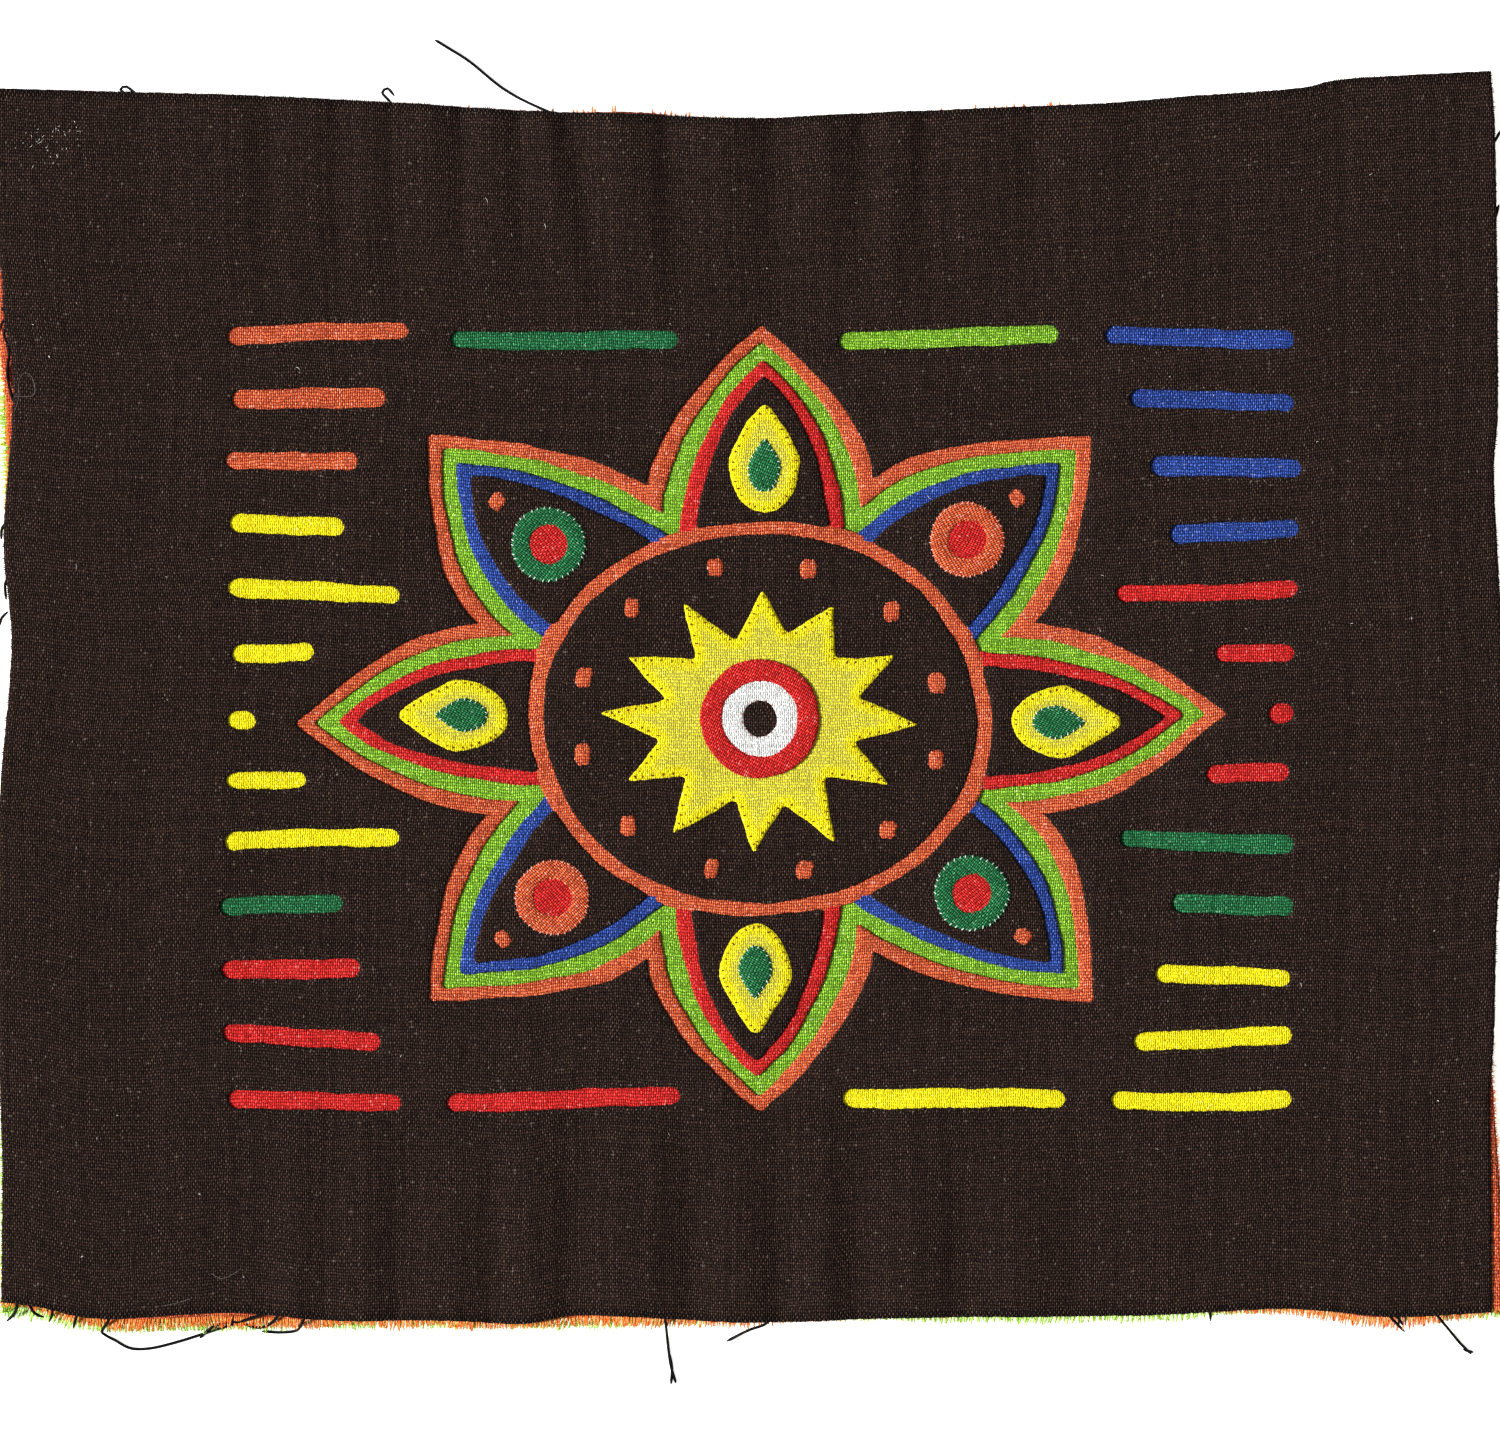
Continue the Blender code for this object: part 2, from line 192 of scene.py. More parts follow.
# The bars, from the field's centre: the left end, the right end, the height in the field, how
# far the right end rises, the width, and the cloth that shows.
BARS = (
    (-80.0, -52.0, 57.0, 0.5, 2.7, "orange"),
    (-46.0, -12.5, 56.4, 0.4, 2.6, "green"),
    (12.0, 44.5, 57.2, -0.4, 2.8, "lime"),
    (51.0, 80.0, 56.6, 0.3, 2.7, "blue"),
    (-79.4, -55.5, 47.6, -0.3, 2.9, "orange"),
    (55.0, 79.5, 47.3, 0.4, 2.6, "blue"),
    (-80.2, -60.0, 38.2, 0.3, 2.6, "orange"),
    (58.5, 80.3, 38.0, -0.3, 2.8, "blue"),
    (-79.6, -62.5, 28.6, 0.3, 2.8, "yellow"),
    (61.5, 79.8, 28.4, 0.2, 2.7, "blue"),
    (-80.0, -54.0, 19.4, -0.5, 2.7, "yellow"),
    (54.0, 80.0, 19.2, 0.5, 2.6, "red"),
    (-79.5, -67.5, 10.2, 0.2, 2.6, "yellow"),
    (68.0, 80.0, 9.8, -0.2, 2.8, "red"),
    (-80.0, -76.0, 0.4, 0.0, 3.0, "yellow"),
    (76.4, 80.2, 0.2, 0.0, 3.0, "red"),
    (-80.0, -68.0, -9.2, 0.2, 2.7, "yellow"),
    (67.5, 79.6, -8.8, 0.2, 2.6, "red"),
    (-79.6, -54.5, -18.6, 0.4, 2.8, "yellow"),
    (54.0, 80.2, -18.4, -0.4, 2.7, "green"),
    (-80.1, -62.5, -28.2, -0.2, 2.6, "green"),
    (62.0, 80.0, -27.8, 0.3, 2.9, "green"),
    (-79.8, -60.0, -37.8, 0.3, 2.8, "red"),
    (59.0, 79.6, -38.2, -0.2, 2.6, "yellow"),
    (-80.0, -56.5, -47.4, -0.4, 2.7, "red"),
    (55.5, 80.0, -47.6, 0.4, 2.7, "yellow"),
    (-79.6, -53.0, -57.2, 0.4, 2.6, "red"),
    (-46.5, -12.0, -56.8, -0.3, 2.8, "red"),
    (12.5, 45.5, -57.0, 0.4, 2.7, "yellow"),
    (52.0, 79.8, -56.6, -0.3, 2.8, "yellow"),
)

# Heights of the cloths' upper faces over the table
LIME_FLAT = 0.95
LIME_RAISED = 2.55
ORANGE_FLAT = 2.25
ORANGE_RAISED = 3.05
ISLAND_LOW = 2.80
ISLAND_HIGH = 3.20
PETAL_PATCH_LEVEL = 3.10
BAR_PATCH_LEVEL = 3.06
BAR_PATCH_MARGIN = 1.3
BAR_CROWN = 0.14
DARK_LEVEL = 3.55
APPLIQUE_STEP = 0.34
RISE_LENGTH = 4.0
UNDERSIDE = 0.03
RAW_EDGE_DEPTH = 0.7

# Turned-under edges: how they roll down, and the rows of points along turned and raw edges
LIP_RADIUS = 0.45
LIP_DROP = 0.46
LIP_ROWS = (0.07, 0.2, 0.45)
RAW_ROWS = (0.8, 1.7, 2.8)
RING_STEP = 0.5
SAMPLE_STEP = 0.15
APPLIQUE_RING_STEP = 0.45
APPLIQUE_SPACING = 0.75
# The dents that stitches press into an edge
STITCH_STEP = 1.2
STITCH_DENT = 0.10
STITCH_DENT_RADIUS = 0.45
# How wide a turned edge doubles the cloth, how soon past that it is single, and how far in a
# raised strip has its full height
DOUBLED_WIDTH = 1.2
DOUBLED_RAMP = 0.7
CROWN_WIDTH = 2.5

# The spacing of rows of points, and of points where a cloth is hidden, and how near points come
# to an edge in either part, all as shares of the cloth's own spacing
ROW_SPACING = 0.87
COARSE_SPACING = 2.6
FINE_CLEARANCE = 0.6
COARSE_CLEARANCE = 1.2

# The in-and-out waves of a hand-sewn seam: their length and size
SEAM_WAVES = ((11.0, 0.08), (4.5, 0.03))
# How far a turned edge jumps from one thread to the next
EDGE_JUMP = 0.05

# The plain weave: the pitch of its threads, its depth in metres, the length of the panel along
# each thread, and how near the edge its weft comes loose
WARP_PITCH = 0.312
WEFT_PITCH = 0.458
WEAVE_DEPTH = 0.00014
WEAVE_SPAN = (224.0, 182.0)
LOOSE_WEFT_WIDTH = 1.8
# How threads stray from straight. A row for the warp, the weft and both: the waves in a
# millimetre, their detail, and the most that they move a thread.
STRAYING = ((0.11, 2.0, 0.7), (0.23, 2.0, 0.5), (1.9, 1.0, 0.11))
# How narrow each thread is in its pitch, and how far it rises and sinks where it crosses others
WARP_NARROWNESS = 5.2
WEFT_NARROWNESS = 4.2
CRIMP = 0.45

# The cottons: the colours, in 0 to 255, of the warp, the weft and the painted shade in the gaps
# between threads, how often a crossing glints and the colour it has then, and how much lighter
# the warp's backs shine
COTTONS = {
    "dark": ((82, 61, 53), (50, 35, 30), (1, 1, 1), 0.005, (120, 110, 100), 0.10),
    "orange": ((246, 150, 110), (255, 108, 56), (156, 40, 18), 0.02, (250, 190, 172), 0.55),
    "lime": ((184, 230, 90), (138, 206, 44), (84, 134, 24), 0.02, (222, 246, 166), 0.35),
    "red": ((250, 78, 74), (238, 42, 40), (158, 16, 16), 0.02, (248, 150, 146), 0.30),
    "yellow": ((255, 252, 60), (255, 248, 20), (246, 220, 10), 0.03, (255, 250, 130), 0.2),
    "green": ((76, 152, 100), (36, 126, 72), (14, 70, 40), 0.02, (130, 182, 146), 0.35),
    "blue": ((86, 114, 198), (46, 80, 174), (20, 38, 100), 0.02, (140, 156, 216), 0.35),
    "white": ((255, 255, 253), (252, 252, 249), (222, 222, 217), 0.05, (255, 255, 255), 0.2),
}
GLINT_SHARE = 0.7
# How much lighter or darker a thread, a crossing, a patch of cloth and a fibre may be
THREAD_TONES = (0.72, 1.28)
CROSSING_TONES = (0.60, 1.40)
PATCH_TONES = (0.92, 1.08)
FIBRE_TONES = (-0.25, 2.25)
# The least height in the weave that hides the gaps' painted shade, and the height that shows none
# of it, each in thick and in thin cloth, and the heights between which a warp's back starts to shine
GAP_HEIGHTS = (0.70, 0.90)
THREAD_HEIGHTS = (1.35, 1.38)
SHINE_HEIGHTS = (1.2, 1.45)
# The plies of sewing thread: how many to a metre, about, and their depth in metres
PLY_SCALE = 2600.0
PLY_DEPTH = 0.00004
# What shows of the dark cloth through the thin yellow one
SHOWN_THROUGH = (200, 188, 74)

dice = random.Random(562)


# Outlines


def wander(waves, x, y):
    return sum(size * np.sin(x / x_length + y / y_length) for size, x_length, y_length in waves)


def cut_by_hand(points):
    """Points of the drawing, from the field's centre, where the scissors really went."""
    x, y = np.asarray(points, float).T
    across = FIELD_CENTER[0] + x + wander(WANDER_ACROSS, x, y)
    along = FIELD_CENTER[1] + y + wander(WANDER_ALONG, x, y)
    return np.column_stack((across, along))


def turned(points, angle):
    x, y = np.asarray(points, float).T
    return np.column_stack(
        (x * math.cos(angle) - y * math.sin(angle), x * math.sin(angle) + y * math.cos(angle))
    )


def on_panel(points, angle=0.0):
    """Points of the round flower, turned, stretched and put on the panel."""
    return cut_by_hand(turned(points, angle) * (FLOWER_STRETCH, 1.0))


def line_crossing(point_a, along_a, point_b, along_b):
    spread = along_a.cross(along_b)
    return point_a + (point_b - point_a).cross(along_b) / spread * along_a


def petal_side(inset):
    """One side of the petal on +X, from the notch to the tip, moved inwards by inset."""
    half = PETAL_ANGLE / 2
    notch_ray = Vector((math.cos(half), math.sin(half)))
    axis_ray = Vector((1.0, 0.0))
    center = Vector((0.0, 0.0))
    notch = NOTCH_RADIUS * notch_ray
    shoulder = SHOULDER_RADIUS * Vector((math.cos(SHOULDER_ANGLE), math.sin(SHOULDER_ANGLE)))
    tip = PETAL_TIP_RADIUS * axis_ray
    low_leg = (shoulder - notch).normalized()
    high_leg = (tip - shoulder).normalized()
    low_point = notch + inset * Vector((low_leg.y, -low_leg.x))
    high_point = tip + inset * Vector((high_leg.y, -high_leg.x))
    start = line_crossing(low_point, low_leg, center, notch_ray)
    control = line_crossing(low_point, low_leg, high_point, high_leg)
    end = line_crossing(high_point, high_leg, center, axis_ray)
    steps = [step / CURVE_STEPS for step in range(CURVE_STEPS + 1)]
    curve = [(1 - t) ** 2 * start + 2 * t * (1 - t) * control + t * t * end for t in steps]
    return np.array([tuple(point) for point in curve])


def petal_outline(inset, base_radius, with_base=False):
    """One petal on +X, from its lower base round the tip to its upper base."""
    side = petal_side(inset)
    side = side[np.hypot(*side.T) >= base_radius]
    outline = np.concatenate((side * (1, -1), side[-2::-1]))
    if with_base:
        half_angle = math.atan2(side[0, 1], side[0, 0])
        arc = np.linspace(half_angle, -half_angle, CURVE_STEPS)[1:-1]
        base = base_radius * np.column_stack((np.cos(arc), np.sin(arc)))
        outline = np.concatenate((outline, base))
    return outline


def flower_outline(inset, base_radius):
    petal = petal_outline(inset, base_radius)
    return np.concatenate([on_panel(petal, n * PETAL_ANGLE) for n in range(PETAL_COUNT)])


def circle(radius, steps=96):
    angles = np.linspace(0, 2 * np.pi, steps, endpoint=False)
    return radius * np.column_stack((np.cos(angles), np.sin(angles)))


def bar_outline(left, right, height, rise, width):
    """A narrow slot with round ends."""
    start = np.array((left, height))
    end = np.array((right, height + rise))
    along = (end - start) / np.linalg.norm(end - start) * width / 2
    across = np.array((-along[1], along[0]))
    turns = np.linspace(0, np.pi, 9)[:, None]
    left_end = start + along + np.cos(turns) * across - np.sin(turns) * along
    right_end = end - along - np.cos(turns) * across + np.sin(turns) * along
    shares = np.linspace(0, 1, 12)[1:-1, None]
    lower = left_end[-1] + shares * (right_end[0] - left_end[-1])
    upper = right_end[-1] + shares * (left_end[0] - right_end[-1])
    return cut_by_hand(np.concatenate((left_end, lower, right_end, upper)))


def resampled(path, step, closed):
    """The same line with its points an even step apart."""
    path = np.asarray(path, float)
    if closed:
        path = np.concatenate((path, path[:1]))
    lengths = np.concatenate(([0], np.cumsum(np.linalg.norm(np.diff(path, axis=0), axis=1))))
    count = max(4, round(lengths[-1] / step))
    places = np.linspace(0, lengths[-1], count, endpoint=not closed)
    return np.column_stack([np.interp(places, lengths, column) for column in path.T])


def ring_of(outline, step=RING_STEP, softening=1, waves=SEAM_WAVES):
    """A closed cut edge, counterclockwise, with corners as soft as a turned edge has."""
    ring = resampled(outline, step, True)
    x, y = ring.T
    if np.sum(x * np.roll(y, -1) - np.roll(x, -1) * y) < 0:
        ring = ring[::-1]
    for _ in range(softening):
        ring = 0.5 * ring + 0.25 * (np.roll(ring, 1, 0) + np.roll(ring, -1, 0))
    turns = np.arange(len(ring)) / len(ring) * 2 * np.pi
    shift = np.zeros(len(ring))
    for length, size in waves:
        count = max(2, round(len(ring) * step / length))
        wave = size * np.sin(count * turns + dice.uniform(0, 2 * np.pi))
        shift += wave * (1 + 0.6 * np.sin(3 * turns))
    if waves:
        shift += np.array([dice.uniform(-EDGE_JUMP, EDGE_JUMP) for _ in ring])
    return ring + inward(ring) * shift[:, None]


def inward(ring):
    """The direction into a counterclockwise ring, at each of its points."""
    along = np.roll(ring, -1, 0) - np.roll(ring, 1, 0)
    along /= np.linalg.norm(along, axis=1)[:, None] + 1e-9
    return np.column_stack((-along[:, 1], along[:, 0]))


def smooth_path(points, step):
    """A smooth line through given points, by Catmull-Rom interpolation."""
    points = np.asarray(points, float)
    ends = np.concatenate((2 * points[:1] - points[1:2], points, 2 * points[-1:] - points[-2:-1]))
    pieces = []
    for a, b, c, d in zip(ends, ends[1:], ends[2:], ends[3:]):
        count = max(2, int(np.linalg.norm(c - b) / step))
        t = np.linspace(0, 1, count, endpoint=False)[:, None]
        bend = (2 * a - 5 * b + 4 * c - d) * t**2 + (3 * b - a - 3 * c + d) * t**3
        pieces.append(0.5 * (2 * b + (c - a) * t + bend))
    return np.concatenate(pieces + [points[-1:]])


def cloth_sides(cloth):
    """The four raw edges of a cloth, each as a smooth line, clockwise from the top left."""
    top = [(row[0], row[cloth]) for row in TOP_SIDE]
    right = [(row[cloth], row[0]) for row in RIGHT_SIDE]
    bottom = [BOTTOM_RIGHT[cloth]] + [(row[0], row[cloth]) for row in BOTTOM_SIDE]
    left = [(row[cloth], row[0]) for row in LEFT_SIDE]
    sides = (top, [top[-1]] + right + [bottom[0]], bottom, [bottom[-1]] + left + [top[0]])
    return [resampled(smooth_path(side, 1.0), RING_STEP, False) for side in sides]


# Relief


def eased(share):
    """A share, kept from 0 to 1, that starts and ends gently."""
    share = np.clip(share, 0, 1)
    return share * share * (3 - 2 * share)


def fold_height(x, y):
    """How high the folded margins lie over their flat height."""
    height = np.zeros_like(x)
    for sign, folds in ((1, TOP_FOLDS), (-1, BOTTOM_FOLDS)):
        share = (sign * y - FLAT_HALF_DEPTH) / (FOLD_FULL_DEPTH - FLAT_HALF_DEPTH)
        share = np.clip(share, 0, 1)
        for (edge, inner, size), (next_edge, next_inner, _) in zip(folds, folds[1:]):
            start = inner + (edge - inner) * share
            end = next_inner + (next_edge - next_inner) * share
            across = np.clip((x - start) / (end - start), 0, 1) ** RIDGE_LEAN
            height += FOLD_RISE * size * eased(share) * np.sin(np.pi * across)
    return height


def relief(x, y):
    """The shape that every layer shares: the folds and the small waves."""
    return fold_height(x, y) + wander(RIPPLES, x, y)


def lifted(spots, lift):
    """Spots on the panel, put at a height over its relief."""
    return np.column_stack((spots, lift + relief(*spots.T)))


def corner_rise(cotton, x, y):
    """How much a cloth is lifted towards the bottom right corner."""
    across = eased((x - CORNER_START[0]) / CORNER_RISE_LENGTHS[0])
    down = eased((CORNER_START[1] - y) / CORNER_RISE_LENGTHS[1])
    return CORNER_RISES[cotton] * across * down


def is_inside(points, ring):
    """Which points lie inside a closed outline."""
    inside = np.zeros(len(points), bool)
    near = np.flatnonzero(np.all((points > ring.min(0)) & (points < ring.max(0)), axis=1))
    x, y = points[near].T
    found = np.zeros(len(near), bool)
    for (ax, ay), (bx, by) in zip(ring, np.roll(ring, -1, 0)):
        if ay != by:
            straddles = (ay > y) != (by > y)
            found ^= straddles & (x < ax + (y - ay) / (by - ay) * (bx - ax))
    inside[near] = found
    return inside


def nearest_finder(samples):
    """A function that gives the distance from points to the nearest of some samples."""
    tree = KDTree(len(samples))
    for index, (x, y) in enumerate(samples):
        tree.insert((x, y, 0), index)
    tree.balance()
    return lambda points: np.array([tree.find((x, y, 0))[2] for x, y in points])


def distance_finder(rings):
    """A function that gives the distance from points to the nearest of some rings."""
    return nearest_finder(np.concatenate([resampled(ring, SAMPLE_STEP, True) for ring in rings]))


def thread_map(x, y, turn, frayed):
    """Where each point lies in its cloth, in millimetres along the weft and the warp."""
    if turn is not None:
        u, v = turned(np.column_stack((x, y)), turn).T
        return np.column_stack((u, v, np.zeros_like(x)))
    sides = cloth_sides(TOP_CLOTH)
    top = np.interp(x, *sides[0].T)
    bottom = np.interp(x, *sides[2][::-1].T)
    right = np.interp(y, *sides[1][::-1, ::-1].T)
    left = np.interp(y, *sides[3][:, ::-1].T)
    u = (x - left) / (right - left) * WEAVE_SPAN[0]
    v = (y - bottom) / (top - bottom) * WEAVE_SPAN[1]
    fray = 1 - np.minimum(top - y, y - bottom) / LOOSE_WEFT_WIDTH
    return np.column_stack((u, v, eased(fray) if frayed else np.zeros_like(x)))


# Meshes


def add_mesh(name, points, faces, material, threads=None, sheer=None):
    """A piece from points in millimetres, which rides on the panel's one body."""
    data = bpy.data.meshes.new(name)
    data.from_pydata((np.asarray(points) * METRE).tolist(), [], faces)
    data.materials.append(material)
    if threads is not None:
        attribute = data.attributes.new("thread", "FLOAT_VECTOR", "POINT")
        attribute.data.foreach_set("vector", np.asarray(threads, np.float32).ravel())
    if sheer is not None:
        attribute = data.attributes.new("sheer", "FLOAT", "POINT")
        attribute.data.foreach_set("value", np.asarray(sheer, np.float32))
    data.shade_smooth()
    piece = bpy.data.objects.new(name, data)
    bpy.context.collection.objects.link(piece)
    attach(piece, BODY)
    return piece


def lattice(outline, spacing, keep_clear, far_enough):
    """Evenly spread points in an outline, none of them crowding its edges."""
    low, high = outline.min(0), outline.max(0)
    columns = np.arange(low[0], high[0], spacing)
    rows = np.arange(low[1], high[1], spacing * ROW_SPACING)
    x, y = np.meshgrid(columns, rows)
    x = x + spacing / 2 * (np.arange(len(rows)) % 2)[:, None]
    points = np.column_stack((x.ravel(), y.ravel()))
    points = points[is_inside(points, outline)]
    return points[keep_clear(points) > far_enough]


def triangles_in(rings, loose, outline, holes):
    """Triangles over an outline but not its holes, with an edge along every ring."""
    points = []
    edges = []
    for ring in rings:
        first = len(points)
        points += [Vector(point) for point in ring]
        edges += [(first + i, first + (i + 1) % len(ring)) for i in range(len(ring))]
    points += [Vector(point) for point in loose]
    corners, _, triangles, _, _, _ = delaunay_2d_cdt(points, edges, [], 0, 1e-3)
    flat = np.array([tuple(corner) for corner in corners])
    triangles = np.array(triangles)
    middles = flat[triangles].mean(axis=1)
    kept = is_inside(middles, outline)
    for hole in holes:
        kept &= ~is_inside(middles, hole)
    triangles = triangles[kept]
    used, triangles = np.unique(triangles, return_inverse=True)
    return flat[used], triangles.reshape(-1, 3)


def open_edges(triangles):
    """The directed edges that only one triangle has."""
    edges = np.concatenate([triangles[:, [0, 1]], triangles[:, [1, 2]], triangles[:, [2, 0]]])
    _, first, count = np.unique(
        np.sort(edges, axis=1), axis=0, return_index=True, return_counts=True
    )
    return edges[first[count == 1]]


def lip_fall(distance, drop):
    """How far a turned-under edge has rolled down at a distance from its rim."""
    share = np.clip(1 - distance / LIP_RADIUS, 0, 1)
    return drop * (1 - np.sqrt(1 - share * share))


def add_cloth(name, cotton, level, outline, holes=(), spacing=1.3, turn=None, raw=False,
              crown=0.0, drop=LIP_DROP, floor_level=None, dense_near=None, sheer=False):
    """One piece of cloth. Its holes, and its outline unless it is raw, are turned under.

    level is the height of the upper face, or a function of the points that gives it. turn is
    the angle of the grain, and None follows the panel's edges. floor_level closes the
    underside at that height. dense_near thins the points that are far from some rings. sheer
    lets what is below show where the cloth isn't doubled by its turned edge.
    """
    rolled = list(holes) + ([] if raw else [outline])
    rings = [outline] + list(holes)
    rings += [hole - row * inward(hole) for hole in holes for row in LIP_ROWS]
    rings += [outline + row * inward(outline) for row in (RAW_ROWS if raw else LIP_ROWS)]
    to_rings = distance_finder(rings)
    loose = lattice(outline, spacing, to_rings, FINE_CLEARANCE * spacing)
    if dense_near is not None:
        wide = COARSE_SPACING * spacing
        coarse = lattice(outline, wide, to_rings, COARSE_CLEARANCE * spacing)
        reach = dense_near + wide
        to_holes = distance_finder(holes or [outline])
        loose = np.concatenate(
            (loose[to_holes(loose) < dense_near], coarse[to_holes(coarse) > reach])
        )
    flat, triangles = triangles_in(rings, loose, outline, holes)
    x, y = flat.T
    z = relief(x, y) + (level(flat) if callable(level) else level)
    if rolled:
        distance = distance_finder(rolled)(flat)
        z -= lip_fall(distance, drop)
        z += crown * eased(distance / CROWN_WIDTH)
        stitches = np.concatenate([edge_walk(ring, STITCH_STEP)[0] for ring in rolled])
        z -= STITCH_DENT * stitch_dents(flat, stitches)
    points = np.column_stack((x, y, z))
    threads = thread_map(x, y, turn, cotton == "dark")
    faces = triangles.tolist()
    if raw:
        edges = open_edges(triangles)
        rim = distance_finder([outline])(flat[edges].mean(axis=1)) < 0.1
        used, local = np.unique(edges[rim], return_inverse=True)
        local = local.reshape(-1, 2)
        skirt = points[used] - (0, 0, RAW_EDGE_DEPTH)
        if floor_level is not None:
            skirt[:, 2] = floor_level + fold_height(x[used], y[used])
        first = len(points)
        points = np.concatenate((points, skirt))
        threads = np.concatenate((threads, threads[used]))
        quads = np.column_stack(
            (edges[rim][:, 1], edges[rim][:, 0], first + local[:, 0], first + local[:, 1])
        )
        faces += quads.tolist()
    if floor_level is not None:
        first = len(points)
        under = np.column_stack((x, y, floor_level + fold_height(x, y)))
        points = np.concatenate((points, under))
        threads = np.concatenate((threads, threads[: len(under)]))
        faces += (triangles[:, ::-1] + first).tolist()
    shown = eased((distance - DOUBLED_WIDTH) / DOUBLED_RAMP) if sheer else None
    return add_mesh(name, points, faces, materials[cotton], threads, shown)


def add_tubes(name, paths, radius, sides, material):
    """Many threads as one mesh. Each path is a row of points, and its ends are closed."""
    points = []
    faces = []
    first = 0
    turns = np.linspace(0, 2 * np.pi, sides, endpoint=False)
    for path in paths:
        path = np.asarray(path, float)
        along = np.gradient(path, axis=0)
        along /= np.linalg.norm(along, axis=1)[:, None] + 1e-9
        across = np.cross(along, (0.13, 0.17, 1.0))
        across /= np.linalg.norm(across, axis=1)[:, None] + 1e-9
        up = np.cross(across, along)
        girth = np.full(len(path), radius)
        girth[[0, -1]] *= 0.5
        ring = np.cos(turns)[None, :, None] * across[:, None]
        ring = ring + np.sin(turns)[None, :, None] * up[:, None]
        points.append((path[:, None] + girth[:, None, None] * ring).reshape(-1, 3))
        for step in range(len(path) - 1):
            low = first + step * sides
            for side in range(sides):
                following = (side + 1) % sides
                faces.append((low + side, low + following, low + sides + following, low + sides + side))
        last = first + (len(path) - 1) * sides
        faces.append(tuple(range(first + sides - 1, first - 1, -1)))
        faces.append(tuple(range(last, last + sides)))
        first += len(path) * sides
    return add_mesh(name, np.concatenate(points), faces, material)


# Stitches


def edge_walk(ring, step):
    """Places an even step apart along a ring, with the direction into it at each."""
    places = resampled(ring, step, True)
    return places, inward(places)


def stitch_dents(points, stitches):
    """How deep each point is drawn down by the stitch nearest to it, from 0 to 1."""
    return np.exp(-((nearest_finder(stitches)(points) / STITCH_DENT_RADIUS) ** 2))


def stitches_along(ring, into_ring, upper, lower, thread):
    """Small stitches over a turned edge, each a short arc from inside it outwards."""
    _, _, step, inside, outside, slant, radius = THREADS[thread]
    places, into = edge_walk(ring, step)
    into = into if into_ring else -into
    sideways = np.column_stack((into[:, 1], -into[:, 0]))
    chance = np.array([[dice.uniform(-1, 1) for _ in range(3)] for _ in places])
    places = places + sideways * (0.2 * step * chance[:, :1])
    start = inside * (1 + 0.18 * chance[:, 1])
    lean = slant * (1 + 0.6 * chance[:, 2])
    rows = []
    for share, lift in STITCH_ARC:
        distance = start + (outside - start) * share
        spots = places + into * distance[:, None] + sideways * (lean * (0.5 - share))[:, None]
        surface = upper - lip_fall(np.maximum(distance, 0), upper - lower)
        rows.append(lifted(spots, surface + lift * radius))
    return list(np.stack(rows, axis=1))


# Materials


class NodeWriter:
    """Adds nodes to a tree, so that a formula can be read as one."""

    def __init__(self, tree):
        self.tree = tree

    def add(self, kind, inputs=None, **settings):
        node = self.tree.nodes.new(kind)
        for name, value in settings.items():
            setattr(node, name, value)
        self.feed(node, inputs or {})
        return node

    def feed(self, node, inputs):
        """Links a node's input to each value that is a socket, and sets the others."""
        for socket, value in inputs.items():
            if isinstance(value, bpy.types.NodeSocket):
                self.tree.links.new(value, node.inputs[socket])
            else:
                node.inputs[socket].default_value = value

    def math(self, operation, first, second=0.0, third=0.0):
        inputs = {0: first, 1: second, 2: third}
        return self.add("ShaderNodeMath", inputs, operation=operation).outputs[0]

    def plus(self, first, second):
        return self.math("ADD", first, second)

    def times(self, first, second):
        return self.math("MULTIPLY", first, second)

    def times_plus(self, first, second, third):
        return self.math("MULTIPLY_ADD", first, second, third)

    def scaled(self, value, low, high):
        """A value from 0 to 1, spread from low to high."""
        return self.times_plus(value, high - low, low)

    def share(self, value, low, high, **settings):
        """How far a value has come from low to high, from 0 to 1."""
        inputs = {"Value": value, "From Min": low, "From Max": high}
        return self.add("ShaderNodeMapRange", inputs, **settings).outputs[0]

    def mix(self, share, first, second, blend="MIX"):
        inputs = {0: share, 6: first, 7: second}
        node = self.add("ShaderNodeMix", inputs, data_type="RGBA", blend_type=blend)
        return node.outputs[2]

    def noise(self, vector, scale, detail=2.0):
        inputs = {"Vector": vector, "Scale": scale, "Detail": detail}
        return self.add("ShaderNodeTexNoise", inputs).outputs[0]


def linear(color):
    """A colour in 0 to 255 as the linear one that a shader takes."""
    shares = [value / 255 for value in color]
    return tuple(s / 12.92 if s < 0.04045 else ((s + 0.055) / 1.055) ** 2.4 for s in shares) + (1.0,)


